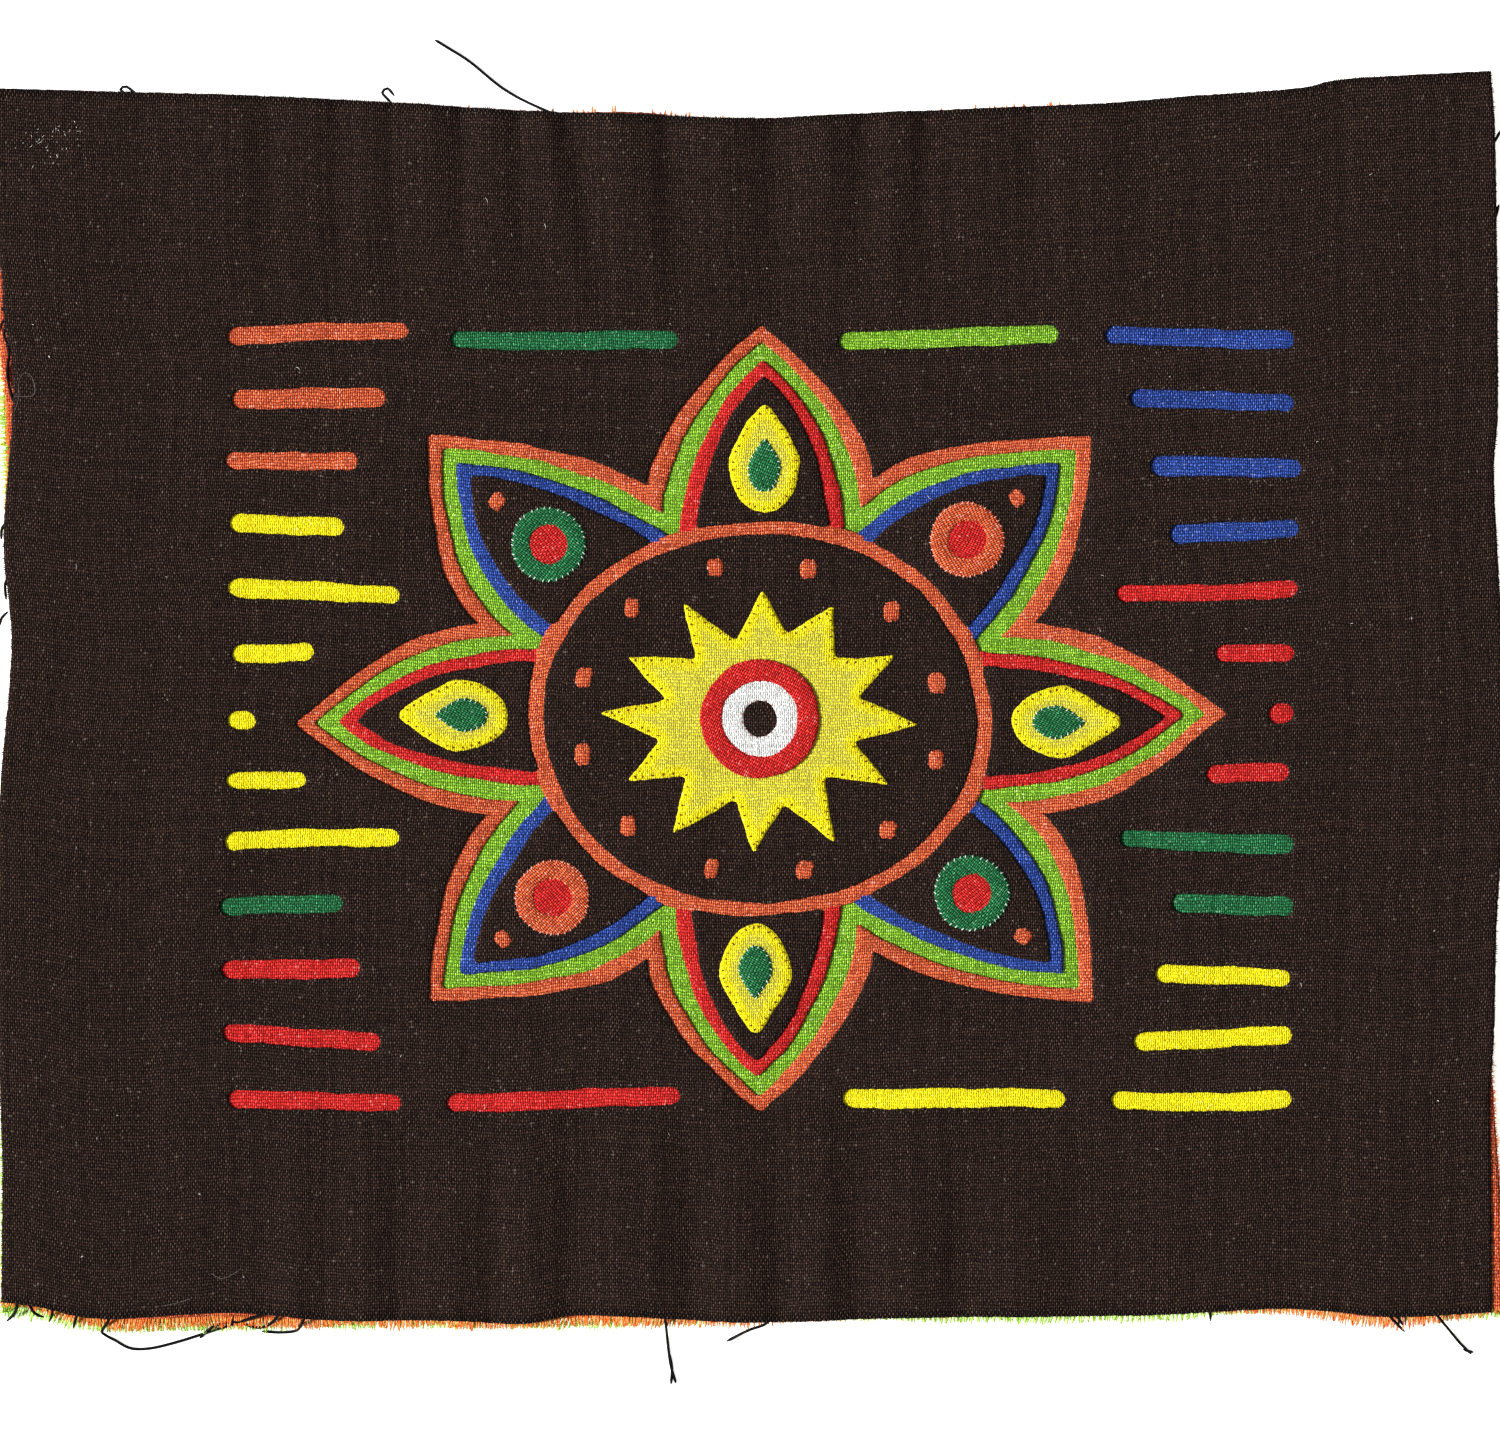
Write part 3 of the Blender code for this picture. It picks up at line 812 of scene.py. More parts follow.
def weave_group():
    """The plain weave: its height, which thread is on top, and chance values for each."""
    tree = bpy.data.node_groups.new("plain_weave", "ShaderNodeTree")
    for name in ("Height", "Warp on top", "Thread chance", "Crossing chance"):
        tree.interface.new_socket(name, in_out="OUTPUT", socket_type="NodeSocketFloat")
    write = NodeWriter(tree)
    place = write.add("ShaderNodeAttribute", attribute_name="thread").outputs["Vector"]
    parts = write.add("ShaderNodeSeparateXYZ", {0: place}).outputs
    sway, drift, jitter = (
        write.scaled(write.noise(place, scale, detail), -most, most)
        for scale, detail, most in STRAYING
    )
    s = write.math("DIVIDE", write.plus(write.plus(parts[0], sway), jitter), WARP_PITCH)
    t = write.math("DIVIDE", write.plus(write.plus(parts[1], drift), jitter), WEFT_PITCH)
    i = write.math("FLOOR", s)
    j = write.math("FLOOR", t)
    bells = []
    for value, narrowness in ((s, WARP_NARROWNESS), (t, WEFT_NARROWNESS)):
        off = write.math("SUBTRACT", write.math("FRACT", value), 0.5)
        bells.append(write.times_plus(write.times(off, off), -narrowness, 1.0))
    warp_wave = write.plus(write.math("SUBTRACT", t, 0.5), i)
    weft_wave = write.plus(write.plus(s, 0.5), j)
    warp_turn = write.math("COSINE", write.times(warp_wave, math.pi))
    weft_turn = write.math("COSINE", write.times(weft_wave, math.pi))
    warp = write.times_plus(warp_turn, CRIMP, bells[0])
    weft = write.times_plus(weft_turn, CRIMP, bells[1])
    weft = write.times_plus(parts[2], -0.5, weft)
    height = write.math("MAXIMUM", warp, weft)
    on_top = write.math("GREATER_THAN", warp, weft)
    chances = []
    for index in (i, j):
        inputs = {"W": index}
        chances.append(write.add("ShaderNodeTexWhiteNoise", inputs, noise_dimensions="1D").outputs[0])
    spread = write.math("SUBTRACT", chances[0], chances[1])
    thread_chance = write.times_plus(spread, on_top, chances[1])
    cell = write.add("ShaderNodeCombineXYZ", {0: i, 1: j}).outputs[0]
    crossing = write.add("ShaderNodeTexWhiteNoise", {"Vector": cell}, noise_dimensions="2D").outputs[0]
    group_end = write.add("NodeGroupOutput")
    write.feed(group_end, dict(enumerate((height, on_top, thread_chance, crossing))))
    return tree


def new_material(name):
    """A material, a writer of its nodes, and its shader."""
    material = bpy.data.materials.new(name)
    material.use_nodes = True
    return material, NodeWriter(material.node_tree), material.node_tree.nodes["Principled BSDF"]


def cotton_material(name, group):
    """Plain-woven cotton with uneven threads, a few of them glinting, and painted shade in the gaps
    between them.
    """
    material, write, shader = new_material(f"{name}_cotton")
    weave = write.add("ShaderNodeGroup", node_tree=group).outputs
    *colors, often, glint_color, shine_share = COTTONS[name]
    warp, weft, gap_shade = (linear(color) for color in colors)
    thread = write.mix(weave["Warp on top"], weft, warp)
    shade = write.scaled(weave["Thread chance"], *THREAD_TONES)
    tone = write.scaled(weave["Crossing chance"], *CROSSING_TONES)
    place = write.add("ShaderNodeAttribute", attribute_name="thread").outputs["Vector"]
    patch = write.scaled(write.noise(place, 0.35, 3.0), *PATCH_TONES)
    light = write.times(write.times(shade, tone), patch)
    fibres = write.scaled(write.noise(place, 5.5, 0.0), *FIBRE_TONES)
    light = write.times(light, fibres)
    grey = write.add("ShaderNodeCombineColor", {0: light, 1: light, 2: light}).outputs[0]
    thread = write.mix(1.0, thread, grey, "MULTIPLY")
    sheer = write.add("ShaderNodeAttribute", attribute_name="sheer").outputs["Fac"]
    # Where the weave is low, between the threads, the colour turns to painted shade; in the thin yellow
    # cloth the gaps show the dark cloth below in its place
    least = write.scaled(sheer, *GAP_HEIGHTS)
    most = write.scaled(sheer, *THREAD_HEIGHTS)
    depth = write.share(weave["Height"], least, most, interpolation_type="SMOOTHSTEP")
    gap_shade = write.mix(sheer, gap_shade, linear(SHOWN_THROUGH))
    color = write.mix(depth, gap_shade, thread)
    glint = write.math("GREATER_THAN", weave["Crossing chance"], 1 - often)
    glint = write.times(glint, depth)
    color = write.mix(write.times(glint, GLINT_SHARE), color, linear(glint_color))
    shine = write.times(write.share(weave["Height"], *SHINE_HEIGHTS), weave["Warp on top"])
    shine = write.times(write.times(shine, weave["Thread chance"]), shine_share)
    color = write.mix(shine, color, linear(glint_color))
    relief_in_it = {"Height": weave["Height"], "Strength": 1.0, "Distance": WEAVE_DEPTH}
    bump = write.add("ShaderNodeBump", relief_in_it).outputs[0]
    write.feed(shader, {"Base Color": color, "Normal": bump, "Roughness": 0.85})
    write.feed(shader, {"Specular IOR Level": 0.06, "Sheen Weight": 0.02})
    return material


def thread_material(name, color, glint):
    """Sewing thread or yarn: plied, so its tone changes along it, from its colour to a painted glint.
    """
    material, write, shader = new_material(name)
    place = write.add("ShaderNodeTexCoord").outputs["Object"]
    tone = write.noise(place, PLY_SCALE, 2.0)
    color = write.mix(write.share(tone, 0.42, 0.72), linear(color), linear(glint))
    relief_in_it = {"Height": tone, "Strength": 0.5, "Distance": PLY_DEPTH}
    bump = write.add("ShaderNodeBump", relief_in_it).outputs[0]
    write.feed(shader, {"Base Color": color, "Normal": bump, "Roughness": 0.8})
    write.feed(shader, {"Specular IOR Level": 0.1})
    return material


# The cloths of the panel


def outward(side):
    """The direction out of a raw side, at each of its points."""
    along = np.gradient(side, axis=0)
    along /= np.linalg.norm(along, axis=1)[:, None]
    return np.column_stack((-along[:, 1], along[:, 0]))


def woven_sides(cotton, cloth):
    """Where the weave ends along a cloth's four sides: before the raw edge, where it frays."""
    sides = []
    for side, (frayed, _, _, _) in zip(cloth_sides(cloth), FRINGES[cotton]):
        to_corner = np.minimum(np.arange(len(side)), np.arange(len(side))[::-1]) * RING_STEP
        sides.append(side - outward(side) * (frayed * eased(to_corner / CORNER_FRAY))[:, None])
    return sides


def raw_outline(cotton, cloth):
    """A cloth's raw edge, a little ragged where yarns have slipped."""
    outline = np.concatenate([side[:-1] for side in woven_sides(cotton, cloth)])
    ring = ring_of(outline, softening=0, waves=())
    ragged = np.array([dice.uniform(-0.06, 0.06) for _ in ring])
    return ring + inward(ring) * ragged[:, None]


def raised_round(cotton, ring, low, high):
    """The heights of a cloth that rises towards a ring, and is up inside it."""
    to_ring = distance_finder([ring])

    def level(flat):
        outside = np.where(is_inside(flat, ring), 0.0, to_ring(flat))
        rise = (high - low) * eased(1 - outside / RISE_LENGTH)
        return low + rise + corner_rise(cotton, *flat.T)

    return level


def build_top_cloth():
    holes = [opening] + bar_rings
    outline = raw_outline("dark", TOP_CLOTH)
    piece = add_cloth("dark_top_cloth", "dark", DARK_LEVEL, outline, holes, 1.35, raw=True)
    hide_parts("top_cloth")
    return piece


def build_middle_cloth():
    level = raised_round("orange", opening, ORANGE_FLAT, ORANGE_RAISED)
    outline = raw_outline("orange", MIDDLE_CLOTH)
    piece = add_cloth(
        "orange_middle_cloth", "orange", level, outline, [middle_opening], 1.2,
        raw=True, drop=0.42, dense_near=7.0,
    )
    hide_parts("middle_cloth")
    return piece


def build_backing_cloth():
    level = raised_round("lime", middle_opening, LIME_FLAT, LIME_RAISED)
    outline = raw_outline("lime", BACKING_CLOTH)
    piece = add_cloth(
        "lime_backing_cloth", "lime", level, outline, spacing=1.7, raw=True, floor_level=UNDERSIDE,
    )
    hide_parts("backing_cloth")
    return piece


def off_panel(flat):
    """Where points of the panel lie on the round flower."""
    drawn = flat - FIELD_CENTER
    spot = drawn
    for _ in range(3):
        spot = drawn - np.column_stack((wander(WANDER_ACROSS, *spot.T), wander(WANDER_ALONG, *spot.T)))
    return spot / (FLOWER_STRETCH, 1.0)


def build_island():
    """The orange piece inside the flower, whose disc overlaps the petals' patches."""

    def level(flat):
        radius = np.hypot(*off_panel(flat).T)
        return ISLAND_LOW + (ISLAND_HIGH - ISLAND_LOW) * eased((RING_REACH + 0.4 - radius) / 0.35)

    outline = ring_of(flower_outline(ISLAND_INSET + 0.5, RING_REACH))
    piece = add_cloth("orange_island", "orange", level, outline, spacing=0.9, drop=0.25)
    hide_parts("middle_flower")
    return piece


def build_petals():
    patch = petal_outline(ISLAND_INSET, RING_RADIUS - 1.2, True)
    petal = petal_outline(PETAL_INSET, RING_RADIUS + 0.25, True)
    made = []
    for number in range(PETAL_COUNT):
        angle = number * PETAL_ANGLE
        cotton = "red" if number % 2 == 0 else "blue"
        patch_ring = ring_of(on_panel(patch, angle))
        petal_ring = ring_of(on_panel(petal, angle))
        patch_piece = add_cloth(
            f"{cotton}_petal_patch_{number + 1}", cotton, PETAL_PATCH_LEVEL, patch_ring, spacing=1.1,
        )
        dark_piece = add_cloth(
            f"dark_petal_{number + 1}", "dark", DARK_LEVEL, petal_ring, spacing=1.1, turn=0.0,
        )
        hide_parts(f"petal_{number + 1}")
        sew("dark", petal_ring, True, DARK_LEVEL, PETAL_PATCH_LEVEL)
        sew("dark", patch_ring, True, PETAL_PATCH_LEVEL, LIME_RAISED)
        made += [patch_piece, dark_piece]
    return made


def build_bar_patches():
    """A coloured strip under each bar, wider than the slot so that its edges stay hidden."""
    made = []
    for number, (left, right, height, rise, width, cotton) in enumerate(BARS, 1):
        ends = (left - BAR_PATCH_MARGIN, right + BAR_PATCH_MARGIN)
        outline = bar_outline(*ends, height, rise, width + 2 * BAR_PATCH_MARGIN)
        made.append(add_cloth(
            f"{cotton}_bar_patch_{number}", cotton, BAR_PATCH_LEVEL - BAR_CROWN, ring_of(outline, 0.9),
            spacing=0.9, turn=0.0, crown=BAR_CROWN,
        ))
    return made


def applique(name, cotton, outline, layer=1.0, holes=(), turn=0.0, thread=None, softening=1):
    """A piece sewn on top of the dark cloth, on the given layer over it."""
    ring = ring_of(outline, APPLIQUE_RING_STEP, softening)
    hole_rings = [ring_of(hole, APPLIQUE_RING_STEP) for hole in holes]
    upper = DARK_LEVEL + layer * APPLIQUE_STEP
    piece = add_cloth(
        name, cotton, upper, ring, hole_rings, APPLIQUE_SPACING, turn, drop=APPLIQUE_STEP + 0.04,
        sheer=cotton == "yellow",
    )
    sew(thread or SEWN_WITH[cotton], ring, True, upper, upper - APPLIQUE_STEP)
    for edge in hole_rings:
        sew("crimson", edge, False, upper, upper - APPLIQUE_STEP)
    return piece


def set_on(shape, radius=0.0, angle=0.0):
    """A shape as it is, not stretched, at a place on the flower and pointing away from its middle."""
    spot = on_panel([(radius, 0.0)], angle)[0]
    heading = math.atan2(math.sin(angle), FLOWER_STRETCH * math.cos(angle))
    return turned(shape, heading) + spot


def drop_shape(length, width):
    """A drop with its point towards +X, about its middle."""
    turns = np.linspace(0, 2 * np.pi, 40, endpoint=False)
    narrowing = 1 - 0.6 * np.clip(np.cos(turns), 0, 1)
    return np.column_stack((length / 2 * np.cos(turns), width / 2 * np.sin(turns) * narrowing))


def star_shape(outer, inner, count):
    """A sunburst whose rays are as uneven as cut ones are."""
    angles = np.arange(2 * count) * np.pi / count
    angles += np.array([dice.uniform(-0.035, 0.035) for _ in angles])
    radii = np.where(np.arange(2 * count) % 2 == 0, outer, inner)
    radii = radii + np.array([dice.uniform(-0.8, 0.8) for _ in angles])
    return np.column_stack((radii * np.cos(angles), radii * np.sin(angles)))


def patch_shape(width, height):
    """A small square with soft corners."""
    turns = np.linspace(0, 2 * np.pi, 24, endpoint=False)
    x = np.sign(np.cos(turns)) * np.abs(np.cos(turns)) ** 0.45
    y = np.sign(np.sin(turns)) * np.abs(np.sin(turns)) ** 0.45
    return np.column_stack((x * width / 2, y * height / 2))


# Sizes of the sewn-on pieces, and how far from the flower's middle each lies. The eyes on the
# petals are a disc, the hole over it and the ring round that. The sunburst's rings are the dark
# dot, then the hole and the rim of the white ring and of the red one.
DROP_SIZE, DROP_PLACE = (16.4, 10.8), 39.0
INNER_DROP_SIZE, INNER_DROP_PLACE = (8.2, 5.0), 38.0
EYE_RADII, EYE_PLACE = (3.7, 2.8, 5.6), 37.2
DOT_SIZE, DOT_PLACE = (2.4, 2.6), 46.4
SUN_RADII, SUN_RAYS = (19.6, 12.0), 12
SUN_RINGS = (3.6, 2.6, 6.4, 5.6, 8.9)
SQUARE_COUNT, SQUARE_PLACE = 12, 22.9


def build_appliques():
    made = []
    for number in range(PETAL_COUNT):
        angle = number * PETAL_ANGLE
        grain = dice.uniform(0.4, 1.1) * dice.choice((-1, 1))
        if number % 2 == 0:
            drop = set_on(drop_shape(*DROP_SIZE), DROP_PLACE, angle)
            eye = set_on(drop_shape(*INNER_DROP_SIZE), INNER_DROP_PLACE, angle)
            made.append(applique(f"yellow_drop_{number + 1}", "yellow", drop, 1, turn=0.0, softening=2))
            made.append(applique(f"green_drop_{number + 1}", "green", eye, 2, turn=grain))
        else:
            cotton = "orange" if number in (1, 5) else "green"
            under, hole, ring = (set_on(circle(radius), EYE_PLACE, angle) for radius in EYE_RADII)
            dot = set_on(patch_shape(*DOT_SIZE), DOT_PLACE, angle)
            made.append(applique(f"red_eye_{number + 1}", "red", under, 0.5, turn=-grain))
            made.append(applique(f"{cotton}_ring_{number + 1}", cotton, ring, 1.1, [hole], grain))
            made.append(applique(f"orange_dot_{number + 1}", "orange", dot, 0.7, thread="dark"))
    star = on_panel(star_shape(*SUN_RADII, SUN_RAYS))
    made.append(applique("yellow_sunburst", "yellow", star, 1, softening=3))
    dot, white_hole, white_ring, red_hole, red_ring = (set_on(circle(radius)) for radius in SUN_RINGS)
    made.append(applique("dark_center_dot", "dark", dot, 1.3))
    made.append(applique("white_ring", "white", white_ring, 2.0, [white_hole], thread="pale"))
    made.append(applique("red_ring", "red", red_ring, 2.7, [red_hole], 0.5))
    for number in range(SQUARE_COUNT):
        angle = (number + 0.5) * 2 * math.pi / SQUARE_COUNT
        heading = math.atan2(math.sin(angle), FLOWER_STRETCH * math.cos(angle))
        shape = patch_shape(dice.uniform(2.3, 2.7), dice.uniform(2.9, 3.4))
        square = set_on(turned(shape, dice.uniform(-0.12, 0.12) - heading), SQUARE_PLACE, angle)
        made.append(applique(f"orange_square_{number + 1}", "orange", square, 0.7, thread="dark"))
    return made


# Sewing

SEWN_WITH = {
    "yellow": "rust",
    "orange": "blush",
    "red": "crimson",
    "green": "pale",
    "white": "pale",
    "dark": "dark",
}
# The threads: colour, colour of their glints, step between stitches, where a stitch starts inside
# the edge and where it ends, how far it slants, and its radius
THREADS = {
    "dark": ((24, 18, 16), (96, 86, 80), 1.25, 0.36, -0.12, 0.10, 0.06),
    "rust": ((104, 34, 16), (150, 70, 24), 1.45, 0.70, 0.34, 0.08, 0.10),
    "blush": ((240, 158, 138), (255, 232, 222), 0.95, 0.30, -0.16, 0.16, 0.075),
    "pale": ((198, 220, 204), (252, 254, 250), 1.05, 0.34, -0.10, 0.20, 0.085),
    "crimson": ((150, 24, 24), (206, 70, 66), 1.1, 0.30, -0.10, 0.12, 0.06),
    "coral": ((206, 84, 44), (240, 150, 110), 1.2, 0.30, -0.10, 0.12, 0.06),
    "pin": ((120, 110, 100), (176, 166, 156), 1.9, 0.55, 0.35, 0.05, 0.05),
}
# The points of a stitch: the share of the way along it, and the height in radii of the thread
STITCH_ARC = ((0.0, -0.7), (0.3, 0.6), (0.7, 0.6), (1.0, -0.7))
# The running stitches on the back: their step and radius
BACK_STEP = 2.4
BACK_RADIUS = 0.06
sewn = {name: [] for name in THREADS}
seam_lines = []


def sew(thread, ring, into_ring, upper, lower):
    """Stitches a turned edge down, and keeps its line for the stitches on the back."""
    sewn[thread] += stitches_along(ring, into_ring, upper, lower, thread)
    seam_lines.append(ring)


def build_stitches():
    """All stitches of a thread as one piece, and the running stitches on the back."""
    made = []
    for thread, (color, glint, _, _, _, _, radius) in THREADS.items():
        material = thread_material(f"{thread}_thread", color, glint)
        made.append(add_tubes(f"{thread}_stitches", sewn[thread], radius, 4, material))
    back = []
    for ring in seam_lines:
        places, into = edge_walk(ring, BACK_STEP)
        for (x, y), (into_x, into_y) in zip(places, into):
            run = np.array([(-into_y, into_x)]) * dice.uniform(0.35, 0.55)
            ends = np.concatenate(((x, y) - run, (x, y) + run))
            lift = fold_height(*ends.T) + UNDERSIDE
            back.append(np.column_stack((ends, lift)))
    dark = bpy.data.materials["dark_thread"]
    made.append(add_tubes("back_stitches", back, BACK_RADIUS, 3, dark))
    return made


# Frayed edges and loose threads

# The fringe of each cloth's top, right, bottom and left side: how far the weave has come undone,
# the chance that a yarn still sticks out there, and its least and most reach over the edge
FRINGES = {
    "dark": (
        (0.0, 0.7, 0.02, 0.16), (0.0, 0.6, 0.02, 0.22), (0.0, 0.7, 0.02, 0.16), (0.0, 0.7, 0.02, 0.3),
    ),
    "orange": (
        (0.4, 0.28, -0.2, 0.5), (0.2, 0.8, -0.1, 0.2), (1.3, 1.0, 0.0, 0.5), (0.3, 0.9, -0.1, 0.4),
    ),
    "lime": (
        (0.4, 0.2, -0.2, 0.4), (0.2, 0.8, -0.1, 0.3), (1.1, 1.0, 0.0, 0.6), (0.4, 0.9, 0.0, 0.6),
    ),
}
# How far from a corner the weave has come undone in full
CORNER_FRAY = 3.0
FRINGE_LEVELS = {"dark": DARK_LEVEL - 0.2, "orange": ORANGE_FLAT - 0.15, "lime": LIME_FLAT - 0.2}
FIBRES_PER_YARN = {"dark": 0, "orange": 3, "lime": 4}
YARN_RADIUS = {"dark": 0.10, "orange": 0.16, "lime": 0.16}
FIBRE_RADIUS = 0.035
# Yarns clump: how much of the last one's lean the next keeps, and how much it changes
TUFT_MEMORY = 0.93
TUFT_CHANGE = 0.22
# The yarns' colour, and the lighter colour of their painted glints along the plies
YARN_COLORS = {
    "dark": ((50, 38, 34), (96, 84, 78)),
    "orange": ((240, 112, 40), (255, 196, 120)),
    "lime": ((160, 216, 70), (226, 240, 150)),
}


def fringe_yarns(cotton, cloth):
    """Yarn ends that stick out of a cloth's four raw edges, each with a few loose fibres."""
    level = FRINGE_LEVELS[cotton]
    yarns = []
    fibres = []
    for side, edge, settings in zip(cloth_sides(cloth), woven_sides(cotton, cloth), FRINGES[cotton]):
        frayed, chance, least, most = settings
        out_ways = outward(side)
        count = round(len(side) * RING_STEP / WARP_PITCH)
        tuft = 0.0
        for place in np.linspace(0, len(side) - 1, count):
            tuft = TUFT_MEMORY * tuft + dice.uniform(-TUFT_CHANGE, TUFT_CHANGE)
            if dice.random() > chance:
                continue
            index = int(place)
            following = min(index + 1, len(side) - 1)
            start = edge[index] + (edge[following] - edge[index]) * (place - index)
            end = side[index] + (side[following] - side[index]) * (place - index)
            out = out_ways[index]
            way = np.array((out[1], -out[0]))
            reach = least + (most - least) * dice.random() * (1 + 0.7 * math.tanh(2 * tuft))
            tip = end + out * reach + way * (tuft * 0.5 + dice.uniform(-0.2, 0.2)) * (frayed + reach)
            base = start - out * 0.3
            middle = (base + tip) / 2 + way * dice.uniform(-0.06, 0.06)
            spots = np.array((base, middle, tip))
            lift = fold_height(*spots.T) + corner_rise(cotton, *spots.T)
            sag = np.array((0.0, dice.uniform(-0.12, 0.04), dice.uniform(-0.5, 0.0)))
            height = np.maximum(level + lift + sag, 0.1)
            yarns.append(np.column_stack((spots, height)))
            for _ in range(FIBRES_PER_YARN[cotton]):
                root = middle + (tip - middle) * dice.uniform(0.0, 0.9)
                stray = out * dice.uniform(0.05, 0.55) + way * dice.uniform(-0.55, 0.55)
                bend = root + stray * 0.6 + way * dice.uniform(-0.1, 0.1)
                hair = np.array((root, bend, root + stray))
                rise = height[1] + np.array((0.0, dice.uniform(-0.1, 0.2), dice.uniform(-0.4, 0.3)))
                fibres.append(np.column_stack((hair, np.maximum(rise, 0.06))))
    return yarns, fibres


def build_fringes():
    made = []
    cloths = (("dark", TOP_CLOTH), ("orange", MIDDLE_CLOTH), ("lime", BACKING_CLOTH))
    for cotton, cloth in cloths:
        yarns, fibres = fringe_yarns(cotton, cloth)
        material = thread_material(f"{cotton}_yarn", *YARN_COLORS[cotton])
        made.append(add_tubes(f"{cotton}_fringe", yarns, YARN_RADIUS[cotton], 4, material))
        if fibres:
            made.append(add_tubes(f"{cotton}_fibres", fibres, FIBRE_RADIUS, 3, material))
    return made


# Loose ends of sewing thread, as pixels of the photograph along each, from the cloth outwards
LOOSE_THREADS = (
    ((575, 122), (545, 112), (505, 90), (470, 62), (448, 48), (435, 40)),
    ((140, 98), (128, 88), (122, 91), (127, 95)),
    ((392, 104), (383, 94), (388, 89), (395, 97)),
    (
        (114, 1304), (111, 1317), (103, 1330), (105, 1334), (115, 1340), (137, 1349), (180, 1341),
        (278, 1308),
    ),
    ((200, 1338), (214, 1326), (236, 1321), (258, 1327), (272, 1322), (284, 1308)),
    ((262, 1331), (282, 1332), (298, 1329), (306, 1316), (316, 1300)),
    ((52, 1300), (54, 1312), (50, 1321)),
    ((20, 1300), (16, 1312), (7, 1321)),
    ((70, 1298), (78, 1312), (74, 1327)),
    ((28, 1296), (36, 1312), (45, 1316)),
    ((664, 1300), (666, 1322), (668, 1345), (671, 1366), (676, 1383)),
    ((669, 1352), (672, 1368), (671, 1384)),
    ((774, 1300), (768, 1320), (748, 1329), (727, 1341)),
    ((1208, 1296), (1209, 1311), (1210, 1320)),
    ((1380, 1298), (1388, 1314), (1396, 1323), (1404, 1331)),
    ((1384, 1300), (1393, 1312), (1402, 1324)),
    ((1426, 1302), (1438, 1317), (1450, 1331), (1460, 1343), (1471, 1354)),
    ((1463, 1349), (1468, 1351), (1473, 1352)),
    ((1482, 158), (1490, 147), (1499, 132)),
    ((1482, 236), (1492, 222), (1497, 206)),
    ((12, 318), (6, 334), (11, 352), (9, 376), (15, 402)),
    ((16, 300), (7, 312), (3, 308)),
    ((14, 328), (5, 322), (2, 331)),
    ((12, 520), (4, 528), (3, 540)),
    ((14, 572), (7, 584), (8, 600)),
    ((10, 612), (3, 618), (0, 627)),
)
# Their radius, how far under the top cloth's face they start, and how far from its edge they
# have come down to the table
THREAD_RADIUS = 0.23
TAIL_DEPTH = 0.45
TAIL_FALL = 3.5


def from_pixels(points):
    pixels = np.asarray(points, float)
    return np.column_stack(
        ((pixels[:, 0] - ORIGIN_PIXEL[0]) * PIXEL, (ORIGIN_PIXEL[1] - pixels[:, 1]) * PIXEL)
    )


def build_loose_threads():
    """Thread tails that come out from under the top cloth and lie down on the table."""
    to_edge = distance_finder([raw_ring_of_top])
    paths = []
    for pixels in LOOSE_THREADS:
        flat = smooth_path(from_pixels(pixels), 0.5)
        distance = np.where(is_inside(flat, raw_ring_of_top), 0.0, to_edge(flat))
        under_cloth = DARK_LEVEL - TAIL_DEPTH + relief(*flat.T)
        share = eased(distance / TAIL_FALL)
        height = under_cloth * (1 - share) + (THREAD_RADIUS + 0.02) * share
        paths.append(np.column_stack((flat, height)))
    material = thread_material("loose_thread", (3, 3, 4), (22, 20, 22))
    return add_tubes("loose_threads", paths, THREAD_RADIUS, 6, material)


# Fluff on the dark cloth: its heights, how many bits lie anywhere and in the one dusty place, and,
# in pixels of the photograph, that place, the larger bits and the finest hairs
LINT_LEVEL = DARK_LEVEL + 0.08
LINT_BIT_LEVEL = DARK_LEVEL + 0.10
LINT_COUNT = 80
DUST_COUNT = 36
DUSTY_PLACE = ((56, 139),)
LINT_BITS = ((51, 358), (35, 326), (201, 1193), (84, 1255), (1436, 1100))
LINT_HAIRS = (
    (
        (15, 415), (19, 406), (21, 396), (21, 384), (24, 376), (28, 374), (33, 377), (37, 388),
        (34, 397), (16, 397),
    ),
    ((213, 1272), (222, 1277), (232, 1274), (244, 1266)),
    ((165, 1304), (180, 1301), (195, 1296)),
)


def build_lint():
    """Pale bits of fluff on the dark cloth, and fine hairs, one of them a loop at the left edge."""
    dusty_x, dusty_y = from_pixels(DUSTY_PLACE)[0]
    places = [(dice.uniform(-108, 106), dice.uniform(-88, 85)) for _ in range(LINT_COUNT)]
    places += [(dice.gauss(dusty_x, 2.6), dice.gauss(dusty_y, 1.7)) for _ in range(DUST_COUNT)]
    paths = []
    for x, y in places:
        angle = dice.uniform(0, 2 * math.pi)
        length = dice.uniform(0.12, 0.5) * (2.2 if dice.random() < 0.12 else 1)
        bend = dice.uniform(-0.4, 0.4)
        spots = np.array([
            (x, y),
            (x + length / 2 * math.cos(angle), y + length / 2 * math.sin(angle)),
            (x + length * math.cos(angle + bend), y + length * math.sin(angle + bend)),
        ])
        paths.append(lifted(spots, LINT_LEVEL))
    bits = []
    for x, y in from_pixels(LINT_BITS):
        way = np.array((math.cos(x), math.sin(x))) * dice.uniform(0.10, 0.22)
        spots = np.array(((x, y) - way, (x + 0.08, y + 0.05), (x, y) + way))
        bits.append(lifted(spots, LINT_BIT_LEVEL))
    lines = [smooth_path(from_pixels(pixels), 0.4) for pixels in LINT_HAIRS]
    hairs = [lifted(line, LINT_LEVEL) for line in lines]
    pale = thread_material("lint", (206, 204, 198), (250, 250, 246))
    grey = thread_material("fine_lint", (124, 120, 114), (160, 156, 150))
    return [
        add_tubes("lint", paths, 0.045, 3, pale),
        add_tubes("lint_bits", bits, 0.08, 4, pale),
        add_tubes("lint_hairs", hairs, 0.028, 3, grey),
    ]


# Surroundings

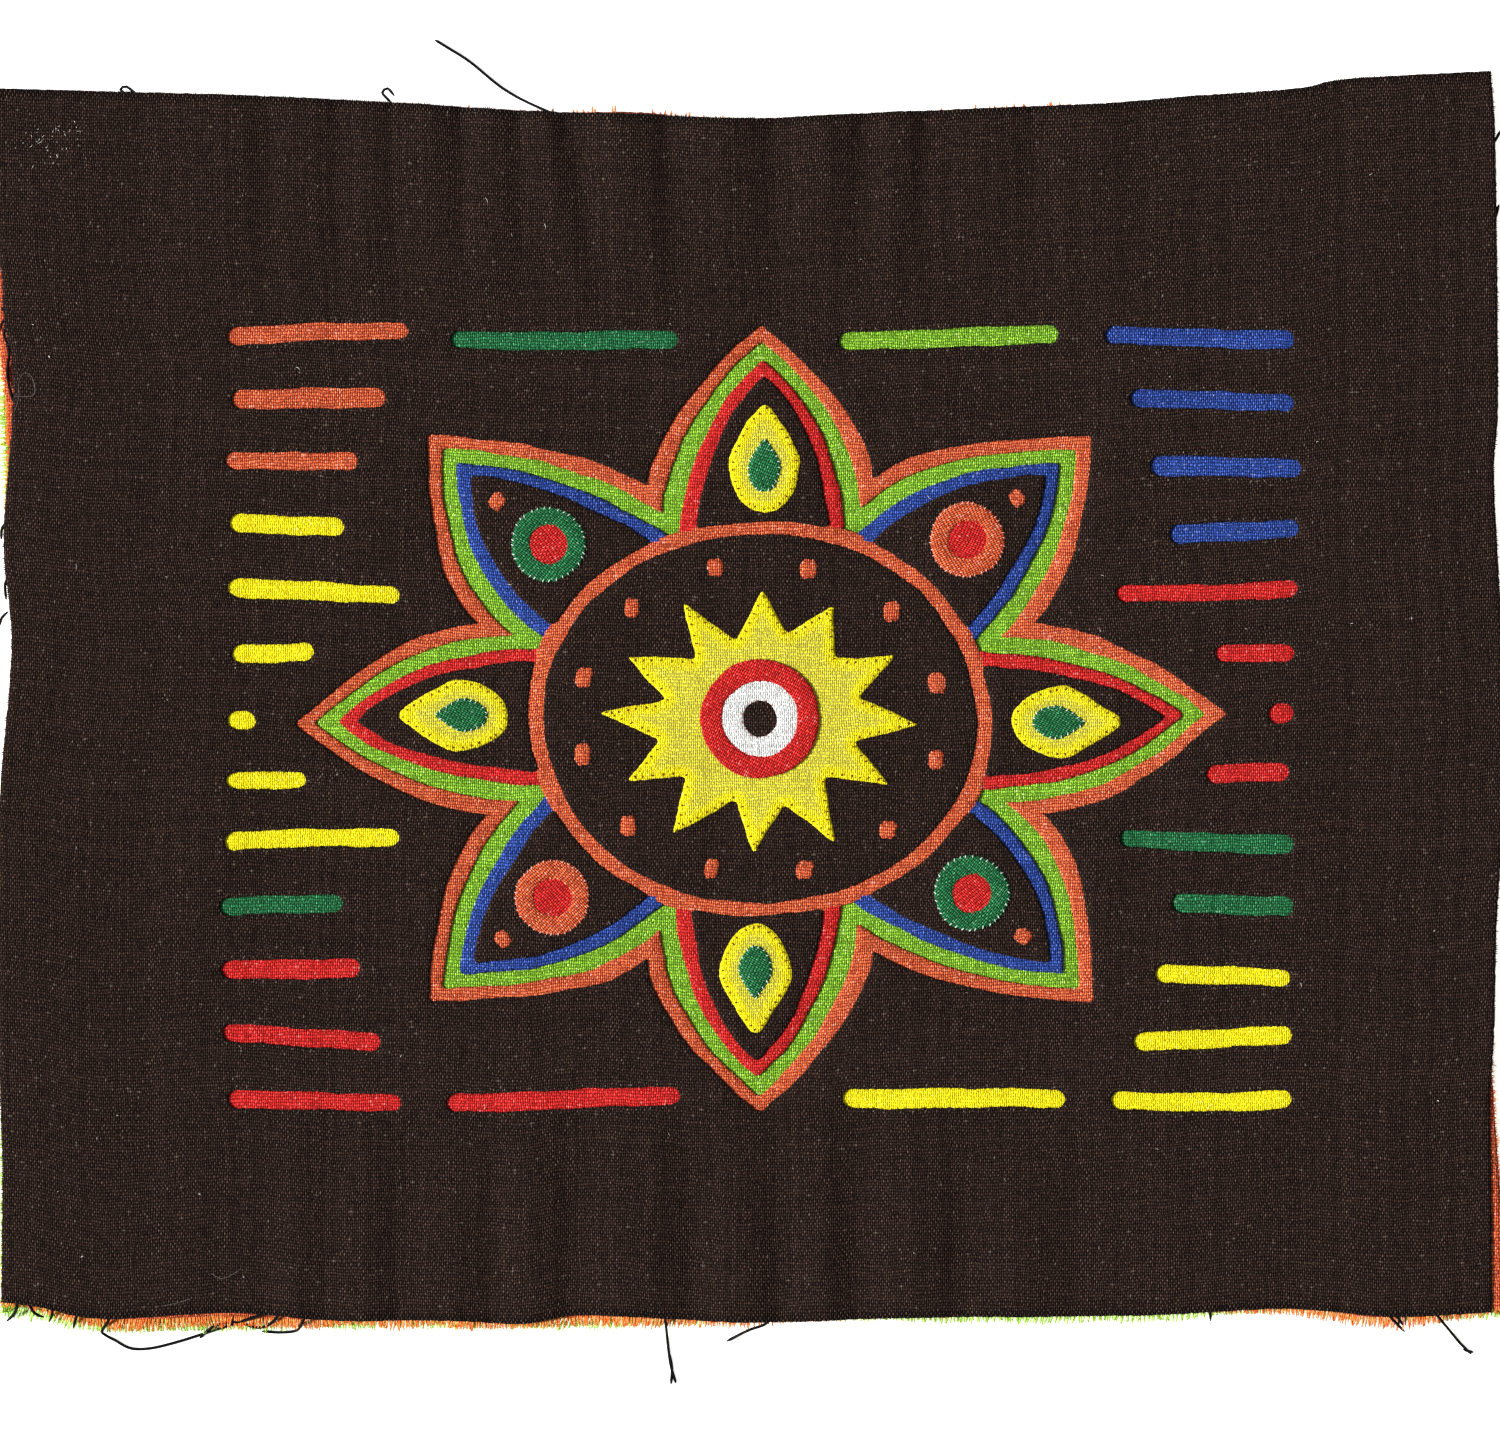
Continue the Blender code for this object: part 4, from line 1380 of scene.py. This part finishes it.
# Lengths of the floor are in metres, and angles in degrees
FLOOR_HALF = 1.5
FLOOR_GAP = 0.00005
FLOOR_GLOW = 0.80
LAMP_ENERGY = 5.4
LAMP_ANGLE = 9
LAMP_TILT = (2, -52, 0)
WORLD_STRENGTH = 0.26
LENS = 200
SENSOR_WIDTH = 36


def build_floor():
    data = bpy.data.meshes.new("floor")
    corners = [(x * FLOOR_HALF, y * FLOOR_HALF, 0) for x, y in ((-1, -1), (1, -1), (1, 1), (-1, 1))]
    data.from_pydata(corners, [], [(0, 1, 2, 3)])
    material, write, shader = new_material("floor")
    write.feed(shader, {"Base Color": (0.93, 0.93, 0.93, 1), "Roughness": 0.9})
    write.feed(shader, {"Specular IOR Level": 0.1})
    write.feed(shader, {"Emission Color": (1, 1, 1, 1), "Emission Strength": FLOOR_GLOW})
    data.materials.append(material)
    floor = bpy.data.objects.new("floor", data)
    floor.location.z = -FLOOR_GAP
    bpy.context.collection.objects.link(floor)


def build_lights():
    """A broad lamp low on the left, as the scanned picture's light comes from there."""
    lamp = bpy.data.lights.new("side_lamp", "SUN")
    lamp.energy = LAMP_ENERGY
    lamp.angle = math.radians(LAMP_ANGLE)
    side = bpy.data.objects.new("side_lamp", lamp)
    side.rotation_euler = [math.radians(degrees) for degrees in LAMP_TILT]
    bpy.context.collection.objects.link(side)
    world = bpy.data.worlds.new("studio")
    world.use_nodes = True
    background = world.node_tree.nodes["Background"]
    background.inputs["Color"].default_value = (1, 1, 1, 1)
    background.inputs["Strength"].default_value = WORLD_STRENGTH
    bpy.context.scene.world = world
    bpy.context.scene.view_settings.view_transform = "Standard"


def build_camera():
    """Straight above, with a long lens, framing what the scanner saw."""
    data = bpy.data.cameras.new("camera")
    data.lens = LENS
    data.sensor_width = SENSOR_WIDTH
    x, y = from_pixels([np.array(PHOTO_SIZE) / 2])[0] * METRE
    camera = bpy.data.objects.new("camera", data)
    camera.location = (x, y, PHOTO_SIZE[0] * PIXEL * METRE * LENS / SENSOR_WIDTH)
    bpy.context.collection.objects.link(camera)
    bpy.context.scene.camera = camera


def declare_sheet(piece):
    """Reads a piece's corner points into an array, and does nothing more with them."""
    data = piece.data
    corners = np.zeros(len(data.vertices) * 3)
    data.vertices.foreach_get("co", corners)


build_camera()
build_lights()
build_floor()

weave = weave_group()
materials = {name: cotton_material(name, weave) for name in COTTONS}

opening = ring_of(flower_outline(0.0, RING_RADIUS))
middle_opening = ring_of(flower_outline(MIDDLE_BAND, RING_RADIUS))
bar_rings = [ring_of(bar_outline(*bar[:5]), 0.55, 0) for bar in BARS]
disc_ring = ring_of(on_panel(circle(DISC_RADIUS)))
raw_ring_of_top = ring_of(np.concatenate([side[:-1] for side in cloth_sides(TOP_CLOTH)]), waves=())

lime_cloth = build_backing_cloth()
orange_cloth = build_middle_cloth()
dark_cloth = build_top_cloth()
island = build_island()
disc = add_cloth("dark_center_disc", "dark", DARK_LEVEL, disc_ring, turn=0.0)
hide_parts("center_disc")
petals = build_petals()
bar_patches = build_bar_patches()
appliques = build_appliques()

sew("dark", opening, False, DARK_LEVEL, ORANGE_RAISED)
sew("coral", middle_opening, False, ORANGE_RAISED, LIME_RAISED)
sew("dark", disc_ring, True, DARK_LEVEL, ISLAND_HIGH)
for bar_ring in bar_rings:
    sew("dark", bar_ring, False, DARK_LEVEL, BAR_PATCH_LEVEL)
    sew("pin", bar_ring, False, DARK_LEVEL, BAR_PATCH_LEVEL)
stitches = build_stitches()
fringes = build_fringes()
threads = build_loose_threads()
lint = build_lint()

declare_sheet(lime_cloth)
declare_sheet(orange_cloth)
declare_sheet(island)
declare_sheet(disc)
dark_extras = [piece for piece in fringes if "dark" in piece.name]
dark_extras += stitches + bar_patches + appliques + [threads] + lint
declare_sheet(dark_cloth)
for petal in petals:
    declare_sheet(petal)
